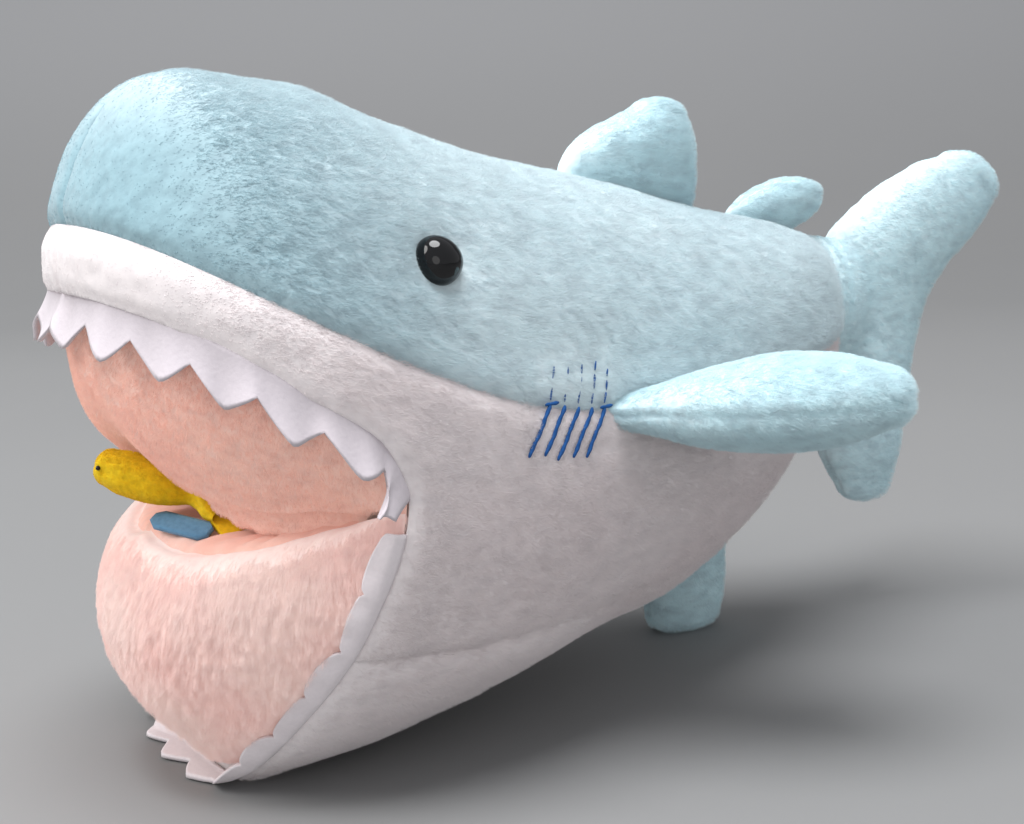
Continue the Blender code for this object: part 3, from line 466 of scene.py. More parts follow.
# Painted light: the same felt as the upper teeth, made lighter to lift the shade the lower teeth stand in.
LOW_TOOTH_PAINTED_LIGHT = cloth_material("low_tooth_felt_painted_light", (0.86, 0.79, 0.81), (0.82, 0.75, 0.77), 0.2, 900.0, 0.15, EVEN,
                           0.15)
YELLOW = cloth_material("fish_pile", (0.95, 0.66, 0.02), (0.86, 0.56, 0.01), 0.1, 700.0, 0.4, EVEN)
YELLOW_FELT = cloth_material("fish_felt", (0.98, 0.66, 0.01), (0.90, 0.58, 0.01), 0.1, 900.0, 0.3, EVEN)
BLUE_FELT = cloth_material("blue_felt", (0.16, 0.33, 0.50), (0.11, 0.26, 0.42), 0.1, 900.0, 0.3, EVEN)
FILLING = cloth_material("fibre_filling", (0.90, 0.90, 0.88), (0.80, 0.80, 0.78), 0.2, 300.0, 0.6, EVEN)
THREAD = plain_material("gill_thread", (0.018, 0.11, 0.36), 0.6, 900.0, specular=0.2)
BEAD = plain_material("bead_black", (0.004, 0.004, 0.005), 0.06, 300.0, coat=0.15, specular=0.35)
WASHER = plain_material("washer_plastic", (0.70, 0.70, 0.68), 0.45, 300.0)


# Pile

def add_pile(obj, count, length, lean, fluff=0.08, thickness=0.07 * MM, children=22, clump=0.2, rough=0.4,
             group=None):
    """Short strands all over a piece; lean is the direction, in the frame, in which they lie.

    Blender grows a strand to four times its starting speed.
    """
    obj.modifiers.new("pile", "PARTICLE_SYSTEM")
    system = obj.particle_systems[-1]
    system.seed = SEED
    settings = system.settings
    settings.type = "HAIR"
    settings.use_advanced_hair = True
    settings.count = count
    settings.hair_step = 3
    settings.display_step = 2
    settings.render_step = 2
    settings.emit_from = "FACE"
    settings.use_emit_random = True
    settings.use_even_distribution = True
    speed = length / 4
    settings.normal_factor = speed * 0.5
    settings.object_align_factor = tuple(speed * c for c in lean)
    settings.factor_random = speed * fluff
    settings.child_type = "INTERPOLATED"
    settings.rendered_child_count = children
    settings.child_length = 1.0
    settings.child_length_threshold = 0.0
    settings.clump_factor = clump
    settings.clump_shape = 0.3
    settings.roughness_1 = length * rough * 0.3
    settings.roughness_1_size = 0.02
    settings.roughness_2 = length * rough
    settings.roughness_2_size = 0.01
    settings.roughness_endpoint = length * rough * 0.5
    settings.root_radius = 1.0
    settings.tip_radius = 0.35
    settings.radius_scale = thickness
    settings.material = 1
    if group:
        system.vertex_group_length = group


# Skin panels

def trunk_rings():
    """Dense rings of the trunk from the nose to the root of the tail, and the faces between them."""
    nose = NOSE_FROM - NOSE_LENGTH * np.sin(np.radians(np.linspace(88, 0, 56)))[:-1]
    rear = TRUNK[-1][0]
    stations = np.concatenate([nose, np.linspace(NOSE_FROM, rear, 140)])
    columns = 288
    angles = 2 * np.pi * np.arange(columns) / columns
    top, bottom, half, level = (a[:, None] for a in trunk_section(stations))
    cosine, sine = np.cos(angles)[None], np.sin(angles)[None]
    reach = np.where(cosine > 0, top - level, level - bottom)
    x = half * power(sine, SQUARENESS)
    z = level + reach * power(cosine, SQUARENESS)
    y = np.repeat(stations[:, None], columns, axis=1)
    points = np.stack([x, y, z], axis=-1)
    centre = np.array([0.0, 0.0, TRUNK[-1][4]])
    closing = ((0.93, 0.0012), (0.80, 0.0018), (0.60, 0.0020), (0.40, 0.0018), (0.20, 0.0014))
    cap = [points[-1] * (scale, 0, scale) + centre * (0, 0, 1 - scale) + (0, rear + back, 0)
           for scale, back in closing]
    points = np.concatenate([points, np.array(cap)])
    return points.reshape(-1, 3), grid_faces(len(points), columns, wrap=True)


def cut_along(mesh, value):
    """Split the faces where value changes sign; a point close to that line is moved onto it."""
    values = {v: value(v.co) for v in mesh.verts}
    on_line = set()
    for edge in mesh.edges:
        a, b = edge.verts
        if values[a] * values[b] < 0:
            share = values[a] / (values[a] - values[b])
            near = a if share < 0.2 else b if share > 0.8 else None
            if near and near not in on_line:
                other = b if near is a else a
                near.co = near.co.lerp(other.co, abs(values[near] / (values[near] - values[other])))
                on_line.add(near)
                values[near] = 0.0
    for edge in list(mesh.edges):
        a, b = edge.verts
        if values[a] * values[b] < 0:
            _, middle = bmesh.utils.edge_split(edge, a, values[a] / (values[a] - values[b]))
            values[middle] = 0.0
            on_line.add(middle)
    bmesh.ops.connect_verts(mesh, verts=[v for v in mesh.verts if v in on_line])


def seam_value(table):
    line = np.linspace(-0.18, 0.12, 601)
    height = read(table, line)
    return lambda co: co.z - float(np.interp(co.y, line, height))


def rim_value():
    line = np.linspace(-0.03, 0.132, 401)
    depth = read(MOUTH_RIM, line)
    return lambda co: co.y - float(np.interp(co.z, line, depth))


def seam_distance(points, table):
    """Distance in side view from a seam line, above it positive."""
    slope = (read(table, points[:, 1] + MM) - read(table, points[:, 1] - MM)) / (2 * MM)
    return (points[:, 2] - read(table, points[:, 1])) / np.sqrt(1 + slope**2)


def rim_distance(points):
    slope = (read(MOUTH_RIM, points[:, 2] + MM) - read(MOUTH_RIM, points[:, 2] - MM)) / (2 * MM)
    return (points[:, 1] - read(MOUTH_RIM, points[:, 2])) / np.sqrt(1 + slope**2)


def skin_relief(points):
    """How far the sewn skin stands above or below the plain trunk."""
    x, y, z = points.T
    pucker = 1 + 0.5 * noise_at(points * (1, 1, 0.3), 5 * MM, 1)
    colour, belly = seam_distance(points, COLOUR_SEAM), seam_distance(points, BELLY_SEAM)
    rim = rim_distance(points)
    relief = -1.0 * MM * dip(colour, 1.5 * MM) * pucker + 0.35 * MM * dip(np.abs(colour) - 5 * MM, 3.5 * MM)
    open_belly = step_up(0.0, 6 * MM, rim)
    relief -= 1.3 * MM * dip(belly, 1.8 * MM) * pucker * open_belly * (z > 0.002)
    relief += 0.4 * MM * dip(np.abs(belly) - 5 * MM, 4 * MM) * open_belly
    top = step_up(0.10, 0.12, z)
    relief -= 0.9 * MM * dip(x, 1.5 * MM) * pucker * top
    relief -= 0.6 * MM * dip(x, 1.5 * MM) * pucker * (z < 0.06)
    relief -= 1.1 * MM * dip(np.maximum(rim, 0), 1.8 * MM)
    relief += 0.2 * MM * dip(rim - 7 * MM, 4 * MM)
    for side in (1, -1):
        eye = on_flank(EYE_Y, EYE_Z, side)
        away = np.linalg.norm(points - np.array(eye), axis=1)
        relief -= 2.2 * MM * dip(away, 9 * MM)
    relief -= 1.6 * MM * dip(y - 0.0890, 1.2 * MM) + 1.2 * MM * dip(y - 0.0945, 1.2 * MM)
    relief += 1.1 * MM * noise_at(points, 42 * MM, 2) + 0.45 * MM * noise_at(points, 15 * MM, 3)
    relief += 0.22 * MM * noise_at(points * (1, 0.5, 1), 3.2 * MM, 4)
    return relief


PANELS = (
    ("back_panel_left", "blue_plush"), ("back_panel_right", "blue_plush"),
    ("flank_panel_left", "white_plush"), ("flank_panel_right", "white_plush"),
    ("belly_gusset", "white_plush"),
)


def build_skin():
    points, faces = trunk_rings()
    mesh = bmesh.new()
    for p in points:
        mesh.verts.new(p)
    mesh.verts.ensure_lookup_table()
    for face in faces:
        mesh.faces.new([mesh.verts[i] for i in face])
    colour, belly, rim = seam_value(COLOUR_SEAM), seam_value(BELLY_SEAM), rim_value()
    cut_along(mesh, rim)
    bmesh.ops.delete(mesh, geom=[f for f in mesh.faces if rim(f.calc_center_median()) < 0], context="FACES")
    cut_along(mesh, colour)
    cut_along(mesh, belly)
    mesh.verts.ensure_lookup_table()
    mesh.verts.index_update()
    panel_of = []
    for face in mesh.faces:
        centre = face.calc_center_median()
        left = centre.x > 0
        if colour(centre) > 0:
            panel_of.append(0 if left else 1)
        elif belly(centre) > 0:
            panel_of.append(2 if left else 3)
        else:
            panel_of.append(4)
    points = np.array([v.co for v in mesh.verts])
    faces = [tuple(v.index for v in face.verts) for face in mesh.faces]
    mesh.free()
    normals = normals_of(points, faces)
    rim_gap = rim_distance(points)
    relief = skin_relief(points)
    floor_fade = step_up(-0.002, 0.006, points[:, 2])
    relief = relief * floor_fade + np.where(floor_fade < 1, np.minimum(relief, 0) * (1 - floor_fade), 0)
    moved = points + normals * relief[:, None]
    moved[:, 2] = np.maximum(moved[:, 2], 0.0)
    made = []
    for index, (name, slot) in enumerate(PANELS):
        own = [f for f, panel in zip(faces, panel_of) if panel == index]
        made.append(build_panel(name, slot, moved, normals, rim_gap, own))
    return made


def build_panel(name, slot, points, normals, rim_gap, faces):
    """One panel with its edges turned in, so that no seam is open."""
    used = sorted({i for face in faces for i in face})
    new = {old: i for i, old in enumerate(used)}
    local = [points[i] for i in used]
    faces = [tuple(new[i] for i in face) for face in faces]
    edges = {}
    for face in faces:
        for a, b in zip(face, face[1:] + face[:1]):
            edges.setdefault(frozenset((a, b)), []).append((a, b))
    border = [pair[0] for pair in edges.values() if len(pair) == 1]
    turned = {}
    for pair in border:
        for i in pair:
            if i not in turned:
                old = used[i]
                at_rim = rim_gap[old] < 0.6 * MM
                depth = 3.4 * MM if at_rim else 1.2 * MM
                inner = points[old] - normals[old] * depth + np.array([0, 1.6 * MM if at_rim else 0, 0])
                inner[2] = max(inner[2], 0.2 * MM)
                turned[i] = len(local)
                local.append(inner)
    faces += [(b, a, turned[a], turned[b]) for a, b in border]
    material = BLUE if slot == "blue_plush" else WHITE
    obj = make_object(name + "_cloth", local, faces, material)
    share = pile_length(points[used], rim_gap[used])
    weigh(obj, "pile", np.concatenate([share, np.zeros(len(turned))]))
    return obj


def pile_length(points, rim_gap):
    """Share of the full pile length: short at the rim, round the eyes and over the gill stitches."""
    x, y, z = points.T
    share = 0.35 + 0.65 * step_up(0.0, 5 * MM, rim_gap)
    away = np.linalg.norm(np.stack([np.abs(x), y, z], axis=-1) - np.array(on_flank(EYE_Y, EYE_Z, 1)), axis=1)
    share *= 0.15 + 0.85 * step_up(5.5 * MM, 10 * MM, away)
    middle = GILL_Y + 2 * GILL_PITCH
    near_gills = (np.abs(y - middle) < 14 * MM) & (np.abs(z - 0.092) < 14 * MM)
    return share * np.where(near_gills, 0.5, 1.0)


for panel, (node, slot_name) in zip(build_skin(), PANELS):
    finish_piece(panel, "body", (node,))
    count = {"back": 5200, "flan": 4600, "bell": 4200}[node[:4]]
    length = 2.1 * MM if slot_name == "blue_plush" else 1.5 * MM
    add_pile(panel, count, length, (0.0, 0.9, -0.25), group="pile")


# Mouth linings

LINING_REACH = 1.03


def lining(name, surface, rows, columns, relief, material):
    """Grid over a lining, from the slit to just past the rim, pushed along its normals by the relief."""
    share, v = np.meshgrid(np.linspace(-1, 1, columns), np.linspace(0.0, LINING_REACH, rows))
    points = surface(share, v).reshape(-1, 3)
    faces = grid_faces(rows, columns)
    normals = normals_of(points, faces)
    if normals[:, 1].mean() > 0:
        normals = -normals
        faces = [tuple(reversed(face)) for face in faces]
    points = points + normals * relief(share.ravel(), v.ravel(), points)[:, None]
    return make_object(name, points, faces, material), share.ravel(), v.ravel()


def palate_relief(share, v, points):
    """Brushed cloth with a fold lying over the crease, gathered along its edge."""
    sides = step_up(0.10, 0.35, np.abs(share)) * (1 - 0.7 * step_up(0.70, 0.95, np.abs(share)))
    folds = np.sin(share * 46 + 2.2 * noise_at(points, 12 * MM, 5)) * dip(v, 0.14)
    relief = 0.45 * MM * folds
    relief = relief + 3.0 * MM * dip(v - 0.055, 0.06) * sides - 1.3 * MM * dip(v - 0.17, 0.035) * sides
    relief += 0.9 * MM * dip(v - 0.24, 0.05) * sides
    relief += 0.9 * MM * noise_at(points, 20 * MM, 6) * np.clip(v * 4, 0, 1)
    return relief + 0.12 * MM * noise_at(points, 3 * MM, 7)


def jaw_relief(share, v, points):
    band = step_up(LIP_BAND - 0.05, LIP_BAND + 0.05, v)
    folds = np.sin(share * 52 + 2.5 * noise_at(points, 10 * MM, 8)) * (1 - band)
    relief = 0.35 * MM * folds - 1.5 * MM * dip(v - LIP_BAND, 0.025)
    dents = 1.1 * MM * noise_at(points, 26 * MM, 9) + 0.3 * MM * noise_at(points * (1, 1, 0.35), 6 * MM, 10)
    relief += band * dents
    relief += 1.4 * MM * dip(v - 0.03, 0.05) * step_up(0.60, 0.88, np.abs(share))
    relief -= 3.6 * MM * step_up(0.45, 0.80, v) * (1 - step_up(0.0, 0.5, share))
    return relief + 0.1 * MM * noise_at(points * (1, 1, 0.4), 2.4 * MM, 11)


roof, _, roof_v = lining("palate_cloth", palate_point, 64, 168, palate_relief, PALATE)
finish_piece(roof, "body", ("palate_lining", "palate_stuffing"))
weigh(roof, "pile", 0.4 + 0.6 * step_up(0.0, 0.3, roof_v) * (1 - step_up(0.9, 1.0, roof_v)))
add_pile(roof, 2600, 1.1 * MM, (0.2, 0.0, -0.6), group="pile")

floor_of_mouth, jaw_share, jaw_v = lining("jaw_cloth", jaw_point, 120, 200, jaw_relief, JAW)
finish_piece(floor_of_mouth, "body", ("jaw_lining", "jaw_stuffing"))
floor_of_mouth.data.materials.append(BAND)
for face in floor_of_mouth.data.polygons:
    face.material_index = int(jaw_v[face.vertices[0]] < LIP_BAND)
long_pile = step_up(LIP_BAND, LIP_BAND + 0.10, jaw_v) * (1 - step_up(0.66, 0.90, jaw_v))
long_pile *= 0.15 + 0.85 * step_up(-0.45, 0.35, jaw_share)
weigh(floor_of_mouth, "pile", (0.20 + 0.80 * long_pile) * step_up(LIP_BAND - 0.02, LIP_BAND + 0.01, jaw_v))
add_pile(floor_of_mouth, 5200, 5.0 * MM, (0.10, -0.05, -1.1), fluff=0.14, children=44, clump=0.24, rough=0.20,
         thickness=0.045 * MM, group="pile")


# Teeth

def tooth_depth(share, root, length):
    """Reach of the felt strip at a share of the way round: pointed teeth with soft tips."""
    phase = np.abs(share) * TEETH_A_SIDE % 1.0
    rise = 1 - np.sqrt((2 * phase - 1) ** 2 + 0.012)
    return root + (length - root) * np.maximum(rise, 0.0) ** 0.95


def even_angles(start, end, count):
    """Angles that divide the rim between two angles into equal lengths."""
    fine = np.linspace(start, end, 321)
    places = rim_point(fine)
    run = run_along(places)
    return np.interp(np.linspace(0, run[-1], count), run, fine)


def felt_strip(name, front, inward, rows, columns, material):
    """Felt of its full thickness behind a grid of points, with rounded edges."""
    back = front + inward * FELT
    count = rows * columns
    faces = grid_faces(rows, columns) + [tuple(reversed(f)) for f in grid_faces(rows, columns, start=count)]
    border = list(range(columns)) + [r * columns + columns - 1 for r in range(1, rows)]
    border += [(rows - 1) * columns + c for c in range(columns - 2, -1, -1)]
    border += [r * columns for r in range(rows - 2, 0, -1)]
    faces += [(b, a, a + count, b + count) for a, b in zip(border, border[1:] + border[:1])]
    return turn_outward(make_object(name, np.concatenate([front, back]), faces, material))


def upper_teeth():
    columns, rows = 2 * TEETH_A_SIDE * 14 + 1, 12
    share = np.linspace(-1, 1, columns)
    angle = even_angles(-np.radians(TEETH_END), np.radians(TEETH_END), columns)
    rim = rim_point(angle)
    out = np.stack([rim[:, 0], -0.35 * (JAW_AT - rim[:, 1]), np.zeros(columns)], axis=-1)
    out /= np.linalg.norm(out, axis=1, keepdims=True)
    corner = step_up(0.84, 0.98, np.abs(share))[:, None]
    down = out * 0.16 + (1 - corner) * (0.0, -0.05, -1.0) + corner * (0.0, -0.80, -0.50)
    down /= np.linalg.norm(down, axis=1, keepdims=True)
    depth = tooth_depth(share, 6.5 * MM, 13.5 * MM)
    wave = 0.8 * MM * np.sin(share * 33 + 1.0) + 0.5 * MM * np.sin(share * 71)
    front = []
    for row in np.linspace(0, 1, rows):
        curl = out * (0.22 * depth * row**2 + wave * row)[:, None]
        front.append(rim + (0, 0.6 * MM, 1.2 * MM) + down * (depth * row + 0.6 * MM * row)[:, None] + curl)
    front = np.concatenate(front) - np.tile(out * 1.1 * MM, (rows, 1))
    return felt_strip("upper_teeth_felt", front, -np.tile(out, (rows, 1)), rows, columns, TOOTH)


def along_jaw(across, reach):
    """Points on the lower lining at a distance in from the rim, and the lining's outward direction there."""
    levels = np.linspace(1.0, 0.55, 91)[:, None]
    share = np.tile(across, (len(levels), 1))
    run = jaw_point(share, np.tile(levels, (1, len(across))))
    steps = np.linalg.norm(np.diff(run, axis=0), axis=2)
    length = np.concatenate([np.zeros((1, len(across))), steps.cumsum(0)])
    level = np.array([np.interp(r, length[:, i], levels[:, 0]) for i, r in enumerate(reach)])
    step = 0.004
    place = jaw_point(across, level)
    sideways = jaw_point(across + step, level) - jaw_point(across - step, level)
    inward = jaw_point(across, level - step) - jaw_point(across, np.minimum(level + step, 1.0))
    out = np.cross(sideways, inward)
    out /= np.linalg.norm(out, axis=1, keepdims=True)
    return place, out * -np.sign(out[:, 1:2])


def lower_teeth():
    """Felt teeth that lie folded over the lining on the left side and stand out on the front and right."""
    columns, rows = 2 * TEETH_A_SIDE * 14 + 1, 12
    share = np.linspace(-1, 1, columns)
    angle = even_angles(np.pi + np.radians(TEETH_END), np.pi - np.radians(TEETH_END), columns)
    rim = rim_point(angle)
    radial = np.stack([np.sin(angle), np.zeros(columns), np.cos(angle)], axis=-1)
    across = (np.pi - angle) / np.radians(91)
    folded = step_up(-0.05, 0.35, share)[:, None]
    phase = share * TEETH_A_SIDE % 1.0
    scallop = (3.4 + 1.9 * np.sqrt(np.maximum(1 - (2 * phase - 1) ** 2, 0.0)) + 0.5 * np.sin(share * 23)) * MM
    aside = step_up(0.05, 0.60, -share)
    tooth = tooth_depth(share, 4.2 * MM, 10.5 * MM) * (1 + 0.35 * aside)
    stand = np.array([0.0, -1.0, 0.0]) + radial * (0.6 + 1.6 * aside)[:, None]
    stand /= np.linalg.norm(stand, axis=1, keepdims=True)
    wave = 0.5 * MM * np.sin(share * 41 + 0.6)
    front, inward = [], []
    for row in np.linspace(0, 1, rows):
        standing = rim - radial * 0.9 * MM + stand * (tooth * row)[:, None] + radial * (wave * row)[:, None]
        place, out = along_jaw(across, scallop * row)
        resting = place + out * (FELT + (0.5 + 0.9 * step_up(0, 0.3, row)) * MM + np.abs(wave) * row)[:, None]
        front.append(standing * (1 - folded) + resting * folded)
        inward.append(-radial * (1 - folded) - out * folded)
    front = np.concatenate(front)
    inward = np.concatenate(inward)
    inward /= np.linalg.norm(inward, axis=1, keepdims=True)
    front[:, 2] = np.maximum(front[:, 2], 0.4 * MM)
    # The lower strip takes the lightened copy of the tooth felt: painted light.
    obj = felt_strip("lower_teeth_felt", front, inward, rows, columns, LOW_TOOTH_PAINTED_LIGHT)
    for v in obj.data.vertices:
        v.co.z = max(v.co.z, 0.2 * MM)
    return obj


def rim_length(start, end):
    """Length of the mouth rim between two angles in degrees."""
    places = rim_point(np.radians(np.linspace(start, end, 90)))
    return float(np.linalg.norm(np.diff(places, axis=0), axis=1).sum())


for strip, node, length, deep, mean in (
        (upper_teeth(), "upper_teeth", rim_length(-TEETH_END, TEETH_END), 13.5 * MM, 10 * MM),
        (lower_teeth(), "lower_teeth", rim_length(180 - TEETH_END, 180 + TEETH_END), 14.0 * MM, 6.5 * MM)):
    finish_piece(strip, "body", (node,))


# Fins

def blend_rows(rows, count):
    """Smoothly read rows of numbers at evenly spaced places along them."""
    rows = np.array(rows, float)
    run = run_along(rows[:, :3])
    table = np.column_stack([run, rows])
    at = np.linspace(0, run[-1], count)
    return np.column_stack([read(table, at, column) for column in range(1, table.shape[1])])


def fin_points(sections, tip, rings=34, sides=56, cap=9):
    """Rings of a stuffed fin, from rows made by lens()."""
    body = blend_rows(sections, rings)
    last = body[-1].copy()
    tip = np.array(tip, float)
    extra = []
    for a in np.linspace(0, np.pi / 2, cap)[1:-1]:
        row = last.copy()
        row[:3] = last[:3] + (tip - last[:3]) * np.sin(a)
        row[9:11] = last[9:11] * np.cos(a)
        extra.append(row)
    body = np.concatenate([body, extra])
    angles = 2 * np.pi * np.arange(sides) / sides
    points, seam = [], []
    for row in body:
        centre, chord, thick, half, deep = row[:3], row[3:6], row[6:9], row[9], row[10]
        chord, thick = chord / np.linalg.norm(chord), thick / np.linalg.norm(thick)
        ring = centre + np.outer(np.cos(angles), chord * half)
        ring = ring + np.outer(power(np.sin(angles), 0.94), thick * deep)
        points.append(ring)
        seam.append(np.abs(np.sin(angles)) * deep)
    return np.concatenate(points), np.concatenate(seam), len(body), sides


def build_fin(name, sections, tip, depth=0.9 * MM):
    """Cover of a fin: puffed out between its edge seams, which pucker."""
    points, seam, rings, sides = fin_points(sections, tip)
    faces = grid_faces(rings, sides, wrap=True)
    points = np.concatenate([points, [np.array(tip, float)]])
    seam = np.concatenate([seam, [0.0]])
    last = (rings - 1) * sides
    faces += [(last + c, last + (c + 1) % sides, rings * sides) for c in range(sides)]
    return fin_object(name, points, faces, seam, depth)


def fin_object(name, points, faces, seam, depth):
    normals = normals_of(points, faces)
    middle = points.mean(axis=0)
    if ((points - middle) * normals).sum() < 0:
        normals = -normals
        faces = [tuple(reversed(face)) for face in faces]
    pucker = noise_at(points, 4.5 * MM, 12)
    relief = -depth * dip(seam, 0.8 * MM) * (1 + 0.5 * pucker)
    relief += 0.5 * depth * pucker * dip(seam - 3 * MM, 2.5 * MM)
    relief += 0.6 * depth * noise_at(points, 16 * MM, 13) + 0.15 * depth * noise_at(points, 3 * MM, 14)
    return make_object(name, points + normals * relief[:, None], faces, AQUA)


def evaluated_mesh(obj):
    """New mesh of an object with its modifiers applied."""
    bpy.context.view_layer.update()
    return bpy.data.meshes.new_from_object(obj.evaluated_get(bpy.context.evaluated_depsgraph_get()))


def refine(obj):
    """Apply a subdivision, so that the small relief is smooth."""
    modifier = obj.modifiers.new("finer", "SUBSURF")
    modifier.levels = 1
    modifier.render_levels = 1
    shape = evaluated_mesh(obj)
    obj.modifiers.clear()
    obj.data = shape
    return obj


def lens(centre, chord, thick, half, deep):
    """Row of a fin's cross-section: centre, chord and thickness directions, half chord and half thickness."""
    return (*centre, *chord, *thick, half, deep)


def back_frame(base):
    """Start, direction and upward normal of a hinge line on the back."""
    low, high = (Vector((0.0, y, float(trunk_section(y)[0]))) for y in base)
    along = (high - low).normalized()
    return low, along, Vector((0.0, -along.z, along.y))


def upright_fin(name, base, table, tip):
    origin, along, up = back_frame(base)
    rows = [lens(origin + up * height + along * centre, along, (1, 0, 0), half, thick)
            for height, centre, half, thick in table]
    end = origin + up * tip[0] + along * tip[1]
    return build_fin(name, rows, end), origin + FRAME_SHIFT, up


def hinge_span(origin, up, reach=6 * MM):
    """Start and end of a stretch from a fin's hinge line outwards."""
    return tuple(origin), tuple(origin + up * reach)


# Name, hinge line, strands, rows of height, centre, half chord and half thickness, and the tip
BACK_FINS = (
    ("dorsal", DORSAL_BASE, 1400,
     ((-0.0020, 0.0250, 0.0225, 0.0062), (0.0017, 0.0250, 0.0238, 0.0070), (0.0072, 0.0250, 0.0222, 0.0098),
      (0.0142, 0.0268, 0.0182, 0.0106), (0.0202, 0.0296, 0.0132, 0.0092), (0.0252, 0.0314, 0.0082, 0.0064)),
     (0.0288, 0.0320)),
    ("second_dorsal", SECOND_BASE, 700,
     ((-0.0030, 0.0135, 0.0120, 0.0040), (0.0017, 0.0150, 0.0136, 0.0042), (0.0052, 0.0190, 0.0144, 0.0056),
      (0.0092, 0.0228, 0.0134, 0.0062), (0.0127, 0.0262, 0.0100, 0.0052)),
     (0.0160, 0.0290)),
)
for name, base, strands, table, tip in BACK_FINS:
    fin, place, up = upright_fin(f"{name}_fin_cloth", base, table, tip)
    refine(fin)
    start, end = hinge_span(place, up)
    finish_piece(fin, "body", (f"{name}_fin_cover", f"{name}_fin_stuffing"),
                 blend_to=(name, start, end))
    add_pile(fin, strands, 1.5 * MM, (0.0, 0.9, 0.0))


def ventral_fin():
    front, rear = 0.0330, 0.0590
    low = Vector((0.0, front, float(trunk_section(front)[1])))
    high = Vector((0.0, rear, float(trunk_section(rear)[1])))
    along = (high - low).normalized()
    level = Vector((0.0, 1.0, 0.0))
    root = (low + high) / 2 + Vector((0.0, -along.z, along.y)) * 0.0020
    rows = [lens(root, along, (1, 0, 0), 0.0150, 0.0048)]
    for x, y, z, turn, half, deep in ((VENTRAL_LEAN * 0.45, 0.0490, 0.0225, 0.50, 0.0148, 0.0066),
                                      (VENTRAL_LEAN * 0.80, 0.0515, 0.0110, 0.85, 0.0138, 0.0082),
                                      (VENTRAL_LEAN, 0.0530, 0.0042, 1.0, 0.0126, 0.0080)):
        rows.append(lens((x, y, z), along.lerp(level, turn).normalized(), (1, 0, 0), half, deep))
    obj = build_fin("ventral_fin_cloth", rows, (VENTRAL_LEAN, 0.0530, 0.0))
    for v in obj.data.vertices:
        v.co.z = max(v.co.z, 0.0)
    return obj


belly_fin = refine(ventral_fin())
finish_piece(belly_fin, "body", ("ventral_fin_cover", "ventral_fin_stuffing"))
add_pile(belly_fin, 900, 1.7 * MM, (0.0, 0.3, -0.6))


def pectoral_fin(side, word):
    y, z = PECTORAL_ROOT
    root = on_flank(y, z, 1, 0.0)
    hinge = (on_flank(y + 0.012, z, 1) - on_flank(y - 0.012, z, 1)).normalized()
    reach = Vector(PECTORAL_TIP) - root
    across = Vector((0, 0, 1)).cross(reach).normalized()
    rows = []
    for share, half, deep in ((-0.03, 0.0128, 0.0045), (0.04, 0.0138, 0.0050), (0.12, 0.0155, 0.0066),
                              (0.30, 0.0192, 0.0098), (0.52, 0.0205, 0.0114), (0.74, 0.0182, 0.0102),
                              (0.90, 0.0122, 0.0070)):
        chord = hinge.lerp(across, min(max(share, 0.0) * 1.4, 1.0)).normalized()
        centre = root + reach * share
        rows.append(lens((centre.x * side, centre.y, centre.z), (chord.x * side, chord.y, chord.z),
                         (0, 0, 1), half, deep))
    tip = Vector(PECTORAL_TIP)
    obj = refine(build_fin(f"pectoral_fin_{word}_cloth", rows, (tip.x * side, tip.y, tip.z)))
    out = flank_normal(y, z)
    start = Vector((root.x * side, root.y, root.z)) + FRAME_SHIFT
    end = start + Vector((out.x * side, out.y, 0.0)).normalized() * 8 * MM
    finish_piece(obj, "body", (f"pectoral_fin_{word}_cover", f"pectoral_fin_{word}_stuffing"),
                 blend_to=(f"pectoral_{word}", tuple(start), tuple(end)))
    add_pile(obj, 2600, 2.2 * MM, (0.3 * side, 0.7, -0.2), clump=0.4)


pectoral_fin(1, "left")
pectoral_fin(-1, "right")


# Tail

TAIL_LOBES = (
    ((0.110, 0.0405), (0.132, 0.0400), 0.0056), ((0.1025, 0.0520), (0.1345, 0.0500), 0.0086),
    ((0.1000, 0.0680), (0.1360, 0.0650), 0.0100), ((0.0995, 0.0880), (0.1400, 0.0840), 0.0108),
    ((0.1040, 0.1190), (0.1440, 0.0960), 0.0108), ((0.1240, 0.1350), (0.1570, 0.1120), 0.0104),
    ((0.1400, 0.1425), (0.1690, 0.1205), 0.0096), ((0.1560, 0.1465), (0.1780, 0.1300), 0.0074),
)


def lobe_rings():
    """Rings of the crescent from the lower lobe to the upper lobe, closed at both ends."""
    rows = []
    for (y0, z0), (y1, z1), thick in TAIL_LOBES:
        front, rear = Vector((0.0, y0, z0)), Vector((0.0, y1, z1))
        chord = rear - front
        rows.append(lens((front + rear) / 2, chord.normalized(), (1, 0, 0), chord.length / 2, thick))
    low, high = (0.0, 0.1215, 0.0335), (0.0, 0.1760, 0.1440)
    open_rings = 48
    upper, _, rings, sides = fin_points(rows, high, rings=open_rings, cap=7)
    lower, _, ends, _ = fin_points(rows[::-1], low, rings=open_rings, cap=7)
    closing = lower.reshape(ends, sides, 3)[open_rings:][::-1]
    return np.concatenate([best_match(closing, upper[:sides]), upper.reshape(rings, sides, 3)]), low, high


def best_match(rings, first):
    """Turn the order of points in the rings so that they follow on from the first ring."""
    sides = len(first)
    choices = []
    for order in (rings, rings[:, ::-1]):
        for shift in range(sides):
            rolled = np.roll(order, shift, axis=1)
            choices.append((float(np.linalg.norm(rolled[-1] - first)), shift, order is rings))
    _, shift, straight = min(choices)
    return np.roll(rings if straight else rings[:, ::-1], shift, axis=1)


def closed_tube(rings, start, end):
    """Points and faces of rings with a point at each end."""
    count, sides = rings.shape[:2]
    points = np.concatenate([rings.reshape(-1, 3), [start], [end]])
    faces = grid_faces(count, sides, wrap=True)
    last = (count - 1) * sides
    faces += [((c + 1) % sides, c, count * sides) for c in range(sides)]
    faces += [(last + c, last + (c + 1) % sides, count * sides + 1) for c in range(sides)]
    return points, faces


